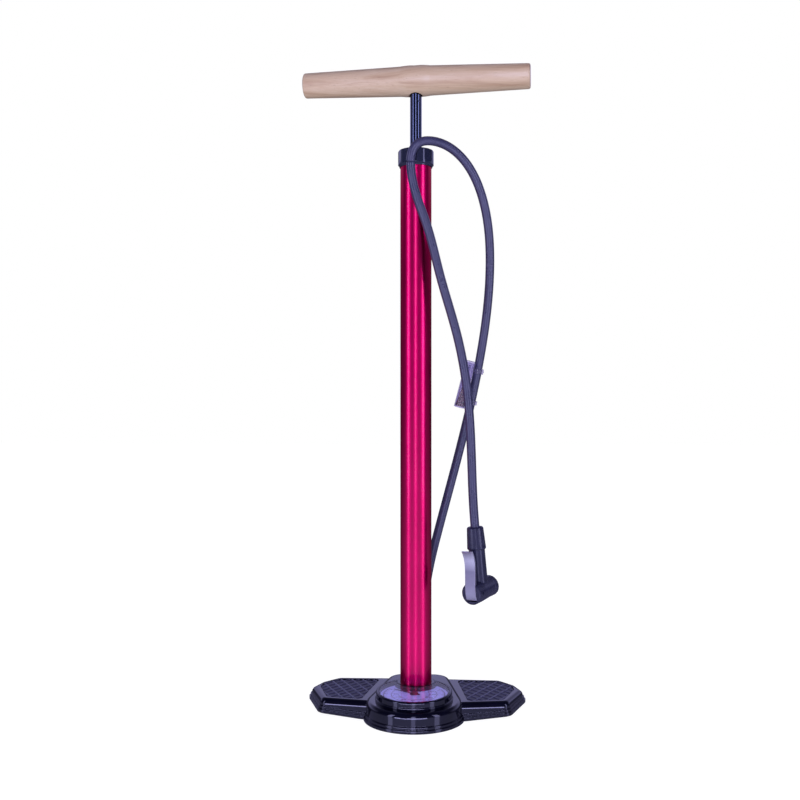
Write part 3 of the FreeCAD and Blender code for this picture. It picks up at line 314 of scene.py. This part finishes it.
def plain_rubber():
    """Matt black rubber with a dusty bloom."""
    s = Shader("plain_rubber", (0.018, 0.018, 0.02), 0.6)
    s.colour(s.ramp(s.noise(120, 5), [(0.3, (0.012, 0.012, 0.014)), (0.72, (0.03, 0.03, 0.034))]))
    s.roughness(s.remap(s.noise(300, 4), 0.3, 0.7, 0.5, 0.72))
    s.bump((s.noise(1300, 3), 0.02 * MM), soften=0.3 * MM)
    return s.material


def hose_rubber():
    """Smooth extruded hose: satin, blue-black, faint streaks along it."""
    s = Shader("hose_rubber", (0.02, 0.02, 0.05), 0.33)
    s.tint(0.80, 0.80, 1.0)
    s.set("Specular IOR Level", 0.8)
    smear = s.noise(45, 4, 0.6)
    fine = s.noise(1100, 3, 0.6)
    s.colour(s.ramp(smear, [(0.3, (0.030, 0.029, 0.072)), (0.7, (0.045, 0.043, 0.098))]))
    s.roughness(s.remap(smear, 0.3, 0.7, 0.24, 0.36))
    s.bump((fine, 0.003 * MM), (s.noise(160, 3), 0.01 * MM))
    return s.material


def head_plastic():
    """Satin glass-filled nylon of the pump head."""
    s = Shader("head_plastic", (0.010, 0.010, 0.024), 0.3)
    s.tint(0.82, 0.82, 1.0)
    grain = s.noise(1800, 3, 0.7)
    tone = s.ramp(s.noise(150, 4), [(0.3, (0.013, 0.013, 0.036)), (0.7, (0.022, 0.022, 0.056))])
    # Sharp edges are painted paler: a painted edge highlight.
    s.colour(s.mix(s.maths("MULTIPLY", s.edge_mask(0.35 * MM), 0.5), tone, (0.06, 0.06, 0.10)))
    s.roughness(s.remap(grain, 0.3, 0.7, 0.17, 0.30))
    s.bump((grain, 0.02 * MM), soften=0.45 * MM)
    return s.material


def lever_silver():
    """Bead-blasted and silvered lever with a painted reflection: darker over its middle and paler at its foot and
    top; sharp edges are painted bright as highlights.
    """
    s = Shader("lever_silver", (0.42, 0.40, 0.52), 0.30, metallic=0.9)
    grain = s.noise(1500, 3, 0.7)
    patch = s.noise(110, 4)
    low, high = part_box("head_lever")
    height = s.add("ShaderNodeSeparateXYZ")
    s.join(s.place, height.inputs[0])
    share = s.remap(height.outputs["Z"], low.z, high.z, 0.0, 1.0)
    # Painted reflection: the tone runs pale at the foot, dark over the middle and palest at the top.
    tone = s.ramp(share, [(0.08, (0.42, 0.41, 0.54)), (0.30, (0.29, 0.27, 0.38)), (0.58, (0.25, 0.235, 0.34)),
                          (0.80, (0.68, 0.67, 0.82)), (1.0, (0.76, 0.75, 0.90))])
    worn = s.mix(s.remap(patch, 0.35, 0.7, 0.0, 0.3), tone, (0.30, 0.285, 0.40))
    # Sharp edges are painted pale: a painted edge highlight.
    s.colour(s.mix(s.maths("MULTIPLY", s.edge_mask(0.3 * MM), 0.6), worn, (0.80, 0.78, 0.90)))
    s.roughness(s.remap(grain, 0.3, 0.7, 0.28, 0.40))
    s.bump((grain, 0.012 * MM), soften=0.35 * MM)
    return s.material


def see_through(name, tint, haze, rough):
    """Clear moulded plastic: tinted light passes straight on, a little scatters, the surface reflects."""
    s = Shader(name, tint, 0.5)
    scuffs = s.noise(260, 6, 0.7)
    clear = s.add("ShaderNodeBsdfTransparent")
    s.join(s.ramp(scuffs, [(0.35, tint), (0.8, tuple(0.9 * c for c in tint))]), clear.inputs["Color"])
    body = s.add("ShaderNodeMixShader")
    s.join(s.remap(scuffs, 0.4, 0.75, haze, 1.5 * haze), body.inputs["Fac"])
    s.join(clear.outputs["BSDF"], body.inputs[1])
    s.join(s.surface.outputs["BSDF"], body.inputs[2])
    shine = s.add("ShaderNodeBsdfGlossy")
    s.join(s.remap(scuffs, 0.4, 0.75, rough, rough + 0.08), shine.inputs["Roughness"])
    facing = s.add("ShaderNodeFresnel")
    facing.inputs["IOR"].default_value = 1.5
    outside = s.maths("SUBTRACT", 1.0, s.add("ShaderNodeNewGeometry").outputs["Backfacing"])
    coat = s.add("ShaderNodeMixShader")
    s.join(s.maths("MULTIPLY", facing.outputs["Fac"], outside), coat.inputs["Fac"])
    s.join(body.outputs["Shader"], coat.inputs[1])
    s.join(shine.outputs["BSDF"], coat.inputs[2])
    s.join(coat.outputs["Shader"], s.out.inputs["Surface"])
    return s.material


def dial_print():
    """Printed card: lavender white, a little mottled."""
    s = Shader("dial_print", (0.40, 0.39, 0.72), 0.5)
    s.colour(s.ramp(s.noise(120, 5), [(0.3, (0.46, 0.44, 0.80)), (0.7, (0.56, 0.54, 0.93))]))
    s.roughness(s.remap(s.noise(500, 3), 0.3, 0.7, 0.42, 0.6))
    s.bump((s.noise(1500, 3), 0.01 * MM))
    return s.material


def ink(name, colour):
    """Screen-printed ink with slightly uneven cover."""
    s = Shader(name, colour, 0.4)
    thin = tuple(min(1.0, 1.5 * c + 0.02) for c in colour)
    s.colour(s.mix(s.remap(s.noise(800, 4), 0.45, 0.75, 0.0, 0.7), colour, thin))
    s.roughness(s.remap(s.noise(400, 3), 0.3, 0.7, 0.3, 0.5))
    s.bump((s.noise(1200, 2), 0.01 * MM))
    return s.material


def nylon():
    """Natural nylon, faintly yellow and waxy."""
    s = Shader("nylon", (0.78, 0.76, 0.68), 0.4)
    s.colour(s.ramp(s.noise(80, 4), [(0.3, (0.72, 0.70, 0.61)), (0.7, (0.82, 0.80, 0.73))]))
    s.roughness(s.remap(s.noise(300, 3), 0.3, 0.7, 0.34, 0.5))
    s.bump((s.noise(900, 3), 0.015 * MM), soften=0.2 * MM)
    return s.material


def felt():
    """Grey wool felt."""
    s = Shader("felt", (0.2, 0.2, 0.2), 0.95)
    fibre = s.noise(1500, 6, 0.8, warp=1.5)
    s.colour(s.ramp(fibre, [(0.3, (0.10, 0.10, 0.10)), (0.7, (0.30, 0.30, 0.30))]))
    s.bump((fibre, 0.15 * MM))
    return s.material


STEEL = metal("steel", (0.56, 0.56, 0.60), 0.28)
BRASS = metal("brass", (0.72, 0.50, 0.20), 0.26)
SLOT_MATERIALS = {
    "base_gloss": gloss_black(),
    "base_underside": underside_black(),
    "tread": tread_black(),
    "rubber_black": plain_rubber(),
    "barrel_red": barrel_red(),
    "rod_black": rod_black(),
    "handle_wood": handle_wood(),
    "steel": STEEL,
    "brass": BRASS,
    "block_metal": metal("block_metal", (0.62, 0.62, 0.65), 0.4),
    "lens_clear": see_through("lens_clear", (0.93, 0.92, 0.98), 0.02, 0.03),
    "dial_print": dial_print(),
    "needle_dark": ink("needle_dark", (0.03, 0.012, 0.02)),
    "hose_rubber": hose_rubber(),
    "head_plastic": head_plastic(),
    "lever_silver": lever_silver(),
    "holder_violet": see_through("holder_violet", (0.70, 0.66, 0.84), 0.08, 0.10),
    "nylon_white": nylon(),
    "felt_grey": felt(),
}


def dress_cad_nodes():
    """Give every carried-over CAD node the material of its slot."""
    for name, thing in nodes.items():
        thing.data.materials.clear()
        thing.data.materials.append(SLOT_MATERIALS[node_slots[name]])


# ---------------------------------------------------------------- mesh helpers
def new_piece(name, verts, faces, slot, smooth=True):
    """Mesh object out of vertices and faces, with its slot's material; end faces stay flat."""
    mesh = bpy.data.meshes.new(name)
    mesh.from_pydata([tuple(v) for v in verts], [], faces)
    mesh.validate()
    built = bmesh.new()
    built.from_mesh(mesh)
    bmesh.ops.recalc_face_normals(built, faces=built.faces)
    built.to_mesh(mesh)
    built.free()
    thing = bpy.data.objects.new(name, mesh)
    bpy.context.scene.collection.objects.link(thing)
    mesh.materials.append(SLOT_MATERIALS[slot])
    mesh.polygons.foreach_set("use_smooth", [smooth and len(face.vertices) <= 4 for face in mesh.polygons])
    return thing


def swept_tube(points, radius, sides):
    """Vertices and faces of a round bar along dense points, closed at both ends."""
    points = [Vector(p) for p in points]
    headings = [(points[min(i + 1, len(points) - 1)] - points[max(i - 1, 0)]).normalized()
                for i in range(len(points))]
    across = headings[0].orthogonal().normalized()
    verts, faces = [], []
    for point, heading in zip(points, headings):
        across = (across - heading * across.dot(heading)).normalized()
        beside = heading.cross(across)
        for side in range(sides):
            angle = 2 * math.pi * side / sides
            verts.append(point + (across * math.cos(angle) + beside * math.sin(angle)) * radius)
    for row in range(len(points) - 1):
        for side in range(sides):
            a = row * sides + side
            b = row * sides + (side + 1) % sides
            faces.append((a, b, b + sides, a + sides))
    faces.append(tuple(range(sides))[::-1])
    last = (len(points) - 1) * sides
    faces.append(tuple(range(last, last + sides)))
    return verts, faces


def smooth_line(points, first, last, count):
    """Dense points on the C2 cubic spline through points with the given end directions."""
    points = np.array(points, float)
    steps = np.linalg.norm(np.diff(points, axis=0), axis=1)
    knots = np.concatenate([[0.0], np.cumsum(steps)])
    n = len(points)
    rows = np.zeros((n, n))
    right = np.zeros((n, 3))
    rows[0, 0] = rows[-1, -1] = 1.0
    right[0] = np.array(first) / np.linalg.norm(first)
    right[-1] = np.array(last) / np.linalg.norm(last)
    for i in range(1, n - 1):
        before, after = steps[i - 1], steps[i]
        rows[i, i - 1] = after
        rows[i, i] = 2 * (before + after)
        rows[i, i + 1] = before
        right[i] = 3 * (after * (points[i] - points[i - 1]) / before
                        + before * (points[i + 1] - points[i]) / after)
    slopes = np.linalg.solve(rows, right)
    line = []
    for t in np.linspace(0.0, knots[-1], count):
        i = min(int(np.searchsorted(knots, t, side="right")) - 1, n - 2)
        span = steps[i]
        u = (t - knots[i]) / span
        line.append((2 * u**3 - 3 * u**2 + 1) * points[i] + (u**3 - 2 * u**2 + u) * span * slopes[i]
                    + (-2 * u**3 + 3 * u**2) * points[i + 1] + (u**3 - u**2) * span * slopes[i + 1])
    return line


# ---------------------------------------------------------------- hose
HOSE_RADIUS = 4.5 * MM
HOSE_STEPS = 520
HOSE_SIDES = 28
HOSE_END = (0.0775, 0, -0.997)      # heading of the hanging run where it enters the head
SPLIT_ABOVE_HINGE = 8 * MM
hinge_point = Vector(joints["hose_swing"]["pos_m"])


def hose_points():
    """Control points of the whole hose, from the base outlet over the cap to the head."""
    outlet_low, outlet_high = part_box("hose_sleeve")
    foot = (outlet_low + outlet_high) / 2
    front = hinge_point.y
    tail_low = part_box("hose_tail")[0].z
    rising = [(3.6, 33.8, 50), (10.9, 31.5, 132), (22, 29.5, 180), (47, 25, 275), (67, 18, 368),
              (75.9, 9, 461), (68.7, 1, 521.5), (48.3, -8, 561.5), (33.2, -13, 573.3), (15.3, -18, 577.9),
              (7.5, -19.9, 576.8), (1.9, -20.8, 573.6), (-1.8, -21, 568.6), (-3.5, -21, 562.5)]
    hanging = [(0.8, 526), (12.4, 492), (25.5, 442.3), (42.6, 382), (53.2, 322), (57.4, 250), (59.4, 205)]
    points = [Vector((foot.x, foot.y, outlet_low.z))]
    points += [Vector(p) * MM for p in rising]
    points += [Vector((hinge_point.x, front, hinge_point.z + 4.75 * MM))]
    points += [Vector((x * MM, front, z * MM)) for x, z in hanging]
    points += [Vector((60.9 * MM, front, tail_low))]
    return points


def build_hose():
    """Fixed run up from the base and over the cap, and hanging run that bends away below the cap."""
    line = smooth_line(hose_points(), (0, 0, 1), HOSE_END, HOSE_STEPS)
    heights = [point[2] for point in line]
    peak = heights.index(max(heights))
    past_cap = hinge_point.z + SPLIT_ABOVE_HINGE
    split = next(index for index in range(peak, len(line)) if heights[index] < past_cap)
    fixed = new_piece("hose_run", *swept_tube(line[:split + 1], HOSE_RADIUS, HOSE_SIDES), "hose_rubber")
    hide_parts("hose")
    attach(fixed, "base")
    hanging = new_piece("hose_hanging", *swept_tube(line[split:], HOSE_RADIUS, HOSE_SIDES), "hose_rubber")
    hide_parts("hose_tail")
    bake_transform(hanging)


# ---------------------------------------------------------------- check valve spring
WIRE_RADIUS = 0.3 * MM
WIRE_PITCH = 1.05 * MM
WIRE_STEPS = 120


def build_valve_spring():
    """Coil under the valve disc; the real one shortens as the disc is pushed down, but this coil is built at one
    fixed length.
    """
    low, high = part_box("check_valve_spring")
    centre = (low + high) / 2
    coil_r = (high.x - low.x) / 2 - WIRE_RADIUS
    rise = high.z - low.z - 2 * WIRE_RADIUS
    line = []
    for index in range(WIRE_STEPS + 1):
        climb = rise * index / WIRE_STEPS
        angle = 2 * math.pi * climb / WIRE_PITCH
        line.append((centre.x + coil_r * math.cos(angle), centre.y + coil_r * math.sin(angle),
                     low.z + WIRE_RADIUS + climb))
    verts, faces = swept_tube(line, WIRE_RADIUS, 10)
    spring = new_piece("valve_spring", verts, faces, "steel")
    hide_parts("check_valve_spring")
    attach(spring, "base")
    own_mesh(spring)


# ---------------------------------------------------------------- tread pads
def top_outline(name):
    """Ordered outline of the flat top of a CAD node."""
    built = bmesh.new()
    built.from_mesh(nodes[name].data)
    bmesh.ops.remove_doubles(built, verts=built.verts, dist=1e-6)
    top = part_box(name)[1].z
    faces = [f for f in built.faces if all(abs(v.co.z - top) < 1e-6 for v in f.verts)]
    inside = set(faces)
    rim = [e for f in faces for e in f.edges if sum(g in inside for g in e.link_faces) == 1]
    links = {}
    for edge in rim:
        a, b = edge.verts
        links.setdefault(a, []).append(b)
        links.setdefault(b, []).append(a)
    start = min(links, key=lambda v: (v.co.x, v.co.y))
    order, previous, current = [start.co.copy()], None, start
    while True:
        following = [v for v in links[current] if v is not previous][0]
        if following is start:
            break
        order.append(following.co.copy())
        previous, current = current, following
    built.free()
    return order


LONG_EDGE = Vector((3.9, -7.5))     # the two sides of one tread hollow, millimetres
CROSS_EDGE = Vector((7.4, 8.7))
RIB_REACH = 1.05                    # half a rib's width, millimetres
CROSS_SHARE = 0.85                  # ribs along the second side are lower by this


def tread_height(x, y, side):
    """Height share of the tread: a net of rounded ribs round slanted hollows."""
    u, v = (-x if side == "right" else x) / MM, y / MM
    area = abs(LONG_EDGE.cross(CROSS_EDGE))
    to_long = (u * LONG_EDGE.y - v * LONG_EDGE.x) / area
    to_cross = (u * CROSS_EDGE.y - v * CROSS_EDGE.x) / area
    gap_long = abs(to_long - round(to_long)) * area / LONG_EDGE.length
    gap_cross = abs(to_cross - round(to_cross)) * area / CROSS_EDGE.length
    return max(math.exp(-(gap_long / RIB_REACH) ** 2), CROSS_SHARE * math.exp(-(gap_cross / RIB_REACH) ** 2))


TREAD_CELL = 0.55 * MM
TREAD_MARGIN = 1 * MM


def build_tread(side):
    """Tread insert: a fine grid cut to the pad's outline and raised into diamonds."""
    name = "tread_pad_" + side
    low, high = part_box(name)
    outline = top_outline(name)
    columns = int((high.x - low.x + 2 * TREAD_MARGIN) / TREAD_CELL) + 1
    rows = int((high.y - low.y + 2 * TREAD_MARGIN) / TREAD_CELL) + 1
    floor_z = low.z + 0.2 * MM
    rim_z = high.z - TREAD_DROP
    verts, faces = [], []
    for j in range(rows):
        for i in range(columns):
            x = low.x - TREAD_MARGIN + i * TREAD_CELL
            y = low.y - TREAD_MARGIN + j * TREAD_CELL
            verts.append((x, y, rim_z + TREAD_RELIEF * tread_height(x, y, side)))
    for j in range(rows - 1):
        for i in range(columns - 1):
            a = j * columns + i
            faces.append((a, a + 1, a + 1 + columns, a + columns))
    grid = bpy.data.meshes.new(name + "_grid")
    grid.from_pydata(verts, [], faces)
    built = bmesh.new()
    built.from_mesh(grid)
    bpy.data.meshes.remove(grid)
    centre = sum(outline, Vector()) / len(outline)
    for a, b in zip(outline, outline[1:] + outline[:1]):
        along = b - a
        outward = Vector((along.y, -along.x, 0)).normalized()
        if outward.dot(centre - a) > 0:
            outward.negate()
        geometry = built.verts[:] + built.edges[:] + built.faces[:]
        bmesh.ops.bisect_plane(built, geom=geometry, plane_co=a, plane_no=outward, clear_outer=True)
    rim = [e for e in built.edges if e.is_boundary]
    skirt = bmesh.ops.extrude_edge_only(built, edges=rim)
    for vert in (g for g in skirt["geom"] if isinstance(g, bmesh.types.BMVert)):
        vert.co.z = floor_z
    bmesh.ops.holes_fill(built, edges=[e for e in built.edges if e.is_boundary])
    bmesh.ops.recalc_face_normals(built, faces=built.faces)
    mesh = bpy.data.meshes.new("tread_" + side)
    built.to_mesh(mesh)
    built.free()
    pad = bpy.data.objects.new("tread_" + side, mesh)
    bpy.context.scene.collection.objects.link(pad)
    mesh.materials.append(SLOT_MATERIALS["tread"])
    mesh.polygons.foreach_set("use_smooth", [True] * len(mesh.polygons))
    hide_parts(name)
    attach(pad, "base")


# ---------------------------------------------------------------- gauge dial
def gauge_frame():
    """Matrix from the gauge's own frame (Z out of the dial) to the row frame."""
    needle = joints["needle_turn"]
    up = Vector(needle["axis"]).normalized()
    right = Vector((1, 0, 0))
    back = up.cross(right)
    place = Matrix((right, back, up)).transposed().to_4x4()
    place.translation = Vector(needle["pos_m"])
    return place


def ring_band(inner, outer, start, end, low, high, steps):
    """Closed flat band along an arc, angles in degrees."""
    verts, faces = [], []
    for index in range(steps + 1):
        angle = math.radians(start + (end - start) * index / steps)
        direction = Vector((math.cos(angle), math.sin(angle), 0))
        for radius, z in ((inner, low), (outer, low), (outer, high), (inner, high)):
            verts.append(direction * radius + Vector((0, 0, z)))
    for index in range(steps):
        a = 4 * index
        for k in range(4):
            faces.append((a + k, a + (k + 1) % 4, a + 4 + (k + 1) % 4, a + 4 + k))
    faces.append((0, 1, 2, 3))
    faces.append(tuple(4 * steps + k for k in (3, 2, 1, 0)))
    return verts, faces


def combined(shapes):
    """Join several (vertices, faces) lists."""
    verts, faces = [], []
    for more_verts, more_faces in shapes:
        start = len(verts)
        verts += more_verts
        faces += [tuple(start + i for i in face) for face in more_faces]
    return verts, faces


ZERO_ANGLE = 150.0
SWEEP = 240.0
DIAL_TOP = 5.0 * MM
INK_THICK = 0.04 * MM
OUTER_RING = 30.2                   # radii on the dial, millimetres
MIDDLE_RING = 22.6
NUMBER_RING = 18.4
NUMBER_HEIGHT = 4.4 * MM
OUTER_TICKS, INNER_TICKS, NUMBERS = 32, 16, 8


def build_dial_print():
    """Scale rings, ticks and numbers printed on the dial."""
    place = gauge_frame()
    low, high = DIAL_TOP + 0.01 * MM, DIAL_TOP + INK_THICK
    end_angle = ZERO_ANGLE + SWEEP
    rings = []
    for inner, outer in ((OUTER_RING, 30.9), (MIDDLE_RING, 23.1), (15.2, 15.6)):
        rings.append(ring_band(inner * MM, outer * MM, ZERO_ANGLE, end_angle, low, high, 96))
    for index in range(OUTER_TICKS + 1):
        angle = ZERO_ANGLE + SWEEP * index / OUTER_TICKS
        major = index % 4 == 0
        reach = 26.4 if major else 28.6
        half = 0.9 if major else 0.45
        rings.append(ring_band(reach * MM, OUTER_RING * MM, angle - half, angle + half, low, high, 2))
    for index in range(INNER_TICKS + 1):
        angle = ZERO_ANGLE + SWEEP * index / INNER_TICKS
        rings.append(ring_band(20.6 * MM, MIDDLE_RING * MM, angle - 0.6, angle + 0.6, low, high, 2))
    verts, faces = combined(rings)
    verts = [place @ v for v in verts]
    scale = new_piece("dial_scale", verts, faces, "needle_dark", smooth=False)
    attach(scale, "base")
    for index in range(NUMBERS + 1):
        angle = math.radians(ZERO_ANGLE + SWEEP * index / NUMBERS)
        name = "dial_number_%d" % (20 * index)
        number = bpy.data.curves.new(name, "FONT")
        number.body = str(20 * index)
        number.size = NUMBER_HEIGHT
        number.align_x = "CENTER"
        number.align_y = "CENTER"
        number.extrude = INK_THICK / 2
        text = bpy.data.objects.new(name, number)
        bpy.context.scene.collection.objects.link(text)
        out = NUMBER_RING * MM
        spot = Vector((math.cos(angle) * out, math.sin(angle) * out, DIAL_TOP + INK_THICK / 2))
        text.matrix_world = place @ Matrix.Translation(spot)
        bpy.context.view_layer.update()
        mesh = bpy.data.meshes.new_from_object(text)
        mesh.transform(text.matrix_world)
        solid = bpy.data.objects.new("dial_mark_%d" % (20 * index), mesh)
        bpy.data.objects.remove(text)
        bpy.context.scene.collection.objects.link(solid)
        mesh.materials.clear()
        mesh.materials.append(SLOT_MATERIALS["needle_dark"])
        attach(solid, "base")


# ---------------------------------------------------------------- stage, light and camera
VIEW_TURN = math.radians(3.5)
CAMERA_DISTANCE = 1.026
CAMERA_HEIGHT = 0.3169
CAMERA_SHIFT = -0.019875            # sideways, as a share of the picture's width


def ground_direction(degrees, distance, height):
    """Point at a compass turn from the camera's side of the pump; positive is to the camera's right."""
    angle = math.radians(degrees) + VIEW_TURN
    return Vector((math.sin(angle) * distance, -math.cos(angle) * distance, height))


def build_floor():
    """Plain pale floor: white to the camera, softly shaded where the pump stands, unseen in reflections."""
    mesh = bpy.data.meshes.new("floor")
    half = 6.0
    corners = [(-half, -half, 0), (half, -half, 0), (half, half, 0), (-half, half, 0)]
    mesh.from_pydata(corners, [], [(0, 1, 2, 3)])
    floor = bpy.data.objects.new("floor", mesh)
    bpy.context.scene.collection.objects.link(floor)
    s = Shader("floor_pale", (0.16, 0.16, 0.16), 0.9)
    s.colour(s.ramp(s.noise(3, 2), [(0.3, (0.15, 0.15, 0.155)), (0.7, (0.17, 0.17, 0.17))]))
    s.set("Emission Color", (1, 1, 1, 1))
    reach = s.add("ShaderNodeVectorMath", operation="LENGTH")
    s.join(s.place, reach.inputs[0])
    # Painted light and shade: the floor's glow dims to 0.96 within 0.1 m of the pump, a painted shade, and it also
    # glows into diffuse rays, a painted bounce light on the pump from below.
    glow = s.remap(reach.outputs["Value"], 0.10, 0.40, 0.96, 1.0)
    sight = s.add("ShaderNodeLightPath")
    bounce = s.maths("MULTIPLY", sight.outputs["Is Diffuse Ray"], 0.55)
    seen = s.maths("ADD", sight.outputs["Is Camera Ray"], bounce)
    s.join(s.maths("MULTIPLY", glow, seen), s.surface.inputs["Emission Strength"])
    mesh.materials.append(s.material)
    floor.visible_glossy = False


LIGHT_TINT = (0.88, 0.87, 1.20)
BACK_TINT = (0.86, 0.83, 1.50)
STRIP_HEIGHT = 1.5
STRIP_SPLIT = 0.05                  # height where the lower part of a strip starts
LOWER_SHARE = 0.40


def add_light(name, place, target, width, height, radiance, only_soft=False):
    """Soft box that faces a target; only_soft keeps it out of reflections."""
    light = bpy.data.lights.new(name, "AREA")
    light.shape = "RECTANGLE"
    light.size = width
    light.size_y = height
    light.energy = radiance * math.pi * width * height
    light.color = LIGHT_TINT
    lamp = bpy.data.objects.new(name, light)
    bpy.context.scene.collection.objects.link(lamp)
    lamp.location = place
    lamp.rotation_euler = (Vector(target) - Vector(place)).to_track_quat("-Z", "Y").to_euler()
    lamp.visible_camera = False
    lamp.visible_glossy = not only_soft
    return lamp


def add_strip(name, degrees, distance, width, radiance):
    """Tall soft box, weaker below the height of the pump's foot."""
    half = STRIP_HEIGHT / 2
    parts = (("upper", STRIP_SPLIT + half, 1.0), ("lower", STRIP_SPLIT - half, LOWER_SHARE))
    for part, middle, share in parts:
        place = ground_direction(degrees, distance, middle)
        add_light(name + "_" + part, place, (0, 0, middle), width, STRIP_HEIGHT, radiance * share)


def light_only(name, targets, lamp):
    """Keep a lamp to a few nodes."""
    group = bpy.data.collections.new(name)
    for target in targets:
        group.objects.link(nodes[target])
    lamp.light_linking.receiver_collection = group


def surround():
    """White to the camera; in reflections a dim studio, bright low in front, with a high band behind."""
    world = bpy.data.worlds.new("surround")
    bpy.context.scene.world = world
    world.use_nodes = True
    tree = world.node_tree

    def add(kind, **settings):
        node = tree.nodes.new(kind)
        for key, value in settings.items():
            setattr(node, key, value)
        return node

    def curve(value, stops):
        ramp = add("ShaderNodeValToRGB")
        elements = ramp.color_ramp.elements
        while len(elements) < len(stops):
            elements.new(0.5)
        for element, (place, level) in zip(elements, stops):
            element.position = place
            element.color = (level, level, level, 1)
        tree.links.new(value, ramp.inputs["Fac"])
        return ramp.outputs["Color"]

    def half_range(vector, direction):
        """Dot product with a direction, moved to 0..1."""
        dot = add("ShaderNodeVectorMath", operation="DOT_PRODUCT")
        tree.links.new(vector, dot.inputs[0])
        dot.inputs[1].default_value = direction
        scaled = add("ShaderNodeMath", operation="MULTIPLY_ADD")
        tree.links.new(dot.outputs["Value"], scaled.inputs[0])
        scaled.inputs[1].default_value = 0.5
        scaled.inputs[2].default_value = 0.5
        return scaled.outputs["Value"]

    heading = add("ShaderNodeTexCoord").outputs["Generated"]
    height = half_range(heading, (0, 0, 1))
    front = half_range(heading, (math.sin(VIEW_TURN), -math.cos(VIEW_TURN), 0))
    in_front = [(0.15, 0.0), (0.45, 1.0)]
    around = curve(front, [(0.0, 0.10), (0.10, 0.10), (0.35, 0.20), (0.65, 0.32), (0.85, 0.54), (1.0, 0.54)])
    front_height = curve(height, [(0.30, 1.5), (0.42, 1.6), (0.47, 1.0),
                                  (0.51, 0.42), (0.66, 0.10), (1.0, 0.06)])
    back_height = curve(height, [(0.40, 1.6), (0.50, 0.7), (0.59, 1.2),
                                 (0.625, 6.5), (0.67, 6.5), (0.80, 0.8)])
    level = add("ShaderNodeMix", data_type="RGBA")
    tree.links.new(curve(front, in_front), level.inputs[0])
    tree.links.new(back_height, level.inputs[6])
    tree.links.new(front_height, level.inputs[7])
    glow = add("ShaderNodeMix", data_type="RGBA", blend_type="MULTIPLY")
    glow.inputs[0].default_value = 1.0
    tree.links.new(around, glow.inputs[6])
    tree.links.new(level.outputs[2], glow.inputs[7])
    tint = add("ShaderNodeMix", data_type="RGBA")
    tree.links.new(curve(front, in_front), tint.inputs[0])
    tint.inputs[6].default_value = (*BACK_TINT, 1)
    tint.inputs[7].default_value = (*LIGHT_TINT, 1)
    tinted = add("ShaderNodeMix", data_type="RGBA", blend_type="MULTIPLY")
    tinted.inputs[0].default_value = 1.0
    tree.links.new(glow.outputs[2], tinted.inputs[6])
    tree.links.new(tint.outputs[2], tinted.inputs[7])
    back = tree.nodes["Background"]
    tree.links.new(tinted.outputs[2], back.inputs["Color"])
    seen = add("ShaderNodeBackground")
    seen.inputs["Color"].default_value = (1, 1, 1, 1)
    path = add("ShaderNodeLightPath")
    blend = add("ShaderNodeMixShader")
    tree.links.new(path.outputs["Is Camera Ray"], blend.inputs["Fac"])
    tree.links.new(back.outputs["Background"], blend.inputs[1])
    tree.links.new(seen.outputs["Background"], blend.inputs[2])
    tree.links.new(blend.outputs["Shader"], tree.nodes["World Output"].inputs["Surface"])
    bpy.context.scene.view_settings.view_transform = "Standard"


def build_lights():
    """Strips at the sides and in front, fill that no reflection shows, and two lamps for a few pieces."""
    add_strip("strip_left", degrees=-56.5, distance=1.7, width=0.34, radiance=4.4)
    add_strip("strip_right", degrees=54, distance=1.7, width=0.38, radiance=4.2)
    add_strip("strip_front", degrees=-2, distance=2.2, width=0.36, radiance=4.0)
    add_light("fill_front", ground_direction(0, 2.2, 0.35), (0, 0, 0.35), 2.0, 1.6, 4.0, only_soft=True)
    add_light("fill_top", (0, 0, 2.2), (0, 0, 0), 1.6, 1.6, 0.3, only_soft=True)
    light_only("edge_band", ("base_shell", "gauge_bezel"),
               add_light("band", ground_direction(-8, 1.6, -0.20), (0, 0, 0.02), 2.4, 0.34, 12.0))
    light_only("dial_glow", ("gauge_dial", "gauge_needle", "dial_screws"),
               add_light("dial_lamp", (0, -0.2, 1.4), (0, 0, 0), 0.8, 0.8, 6.5, only_soft=True))
    surround()


def build_camera():
    """Level camera a metre in front, a third of a metre up."""
    lens = bpy.data.cameras.new("camera")
    lens.lens = 45.0
    lens.sensor_width = 36.0
    lens.shift_x = CAMERA_SHIFT
    camera = bpy.data.objects.new("camera", lens)
    bpy.context.scene.collection.objects.link(camera)
    camera.location = ground_direction(0, CAMERA_DISTANCE, CAMERA_HEIGHT)
    camera.rotation_euler = (math.radians(90), 0, VIEW_TURN)
    bpy.context.scene.camera = camera


dress_cad_nodes()
build_hose()
build_valve_spring()
build_tread("left")
build_tread("right")
build_dial_print()
build_floor()
build_lights()
build_camera()
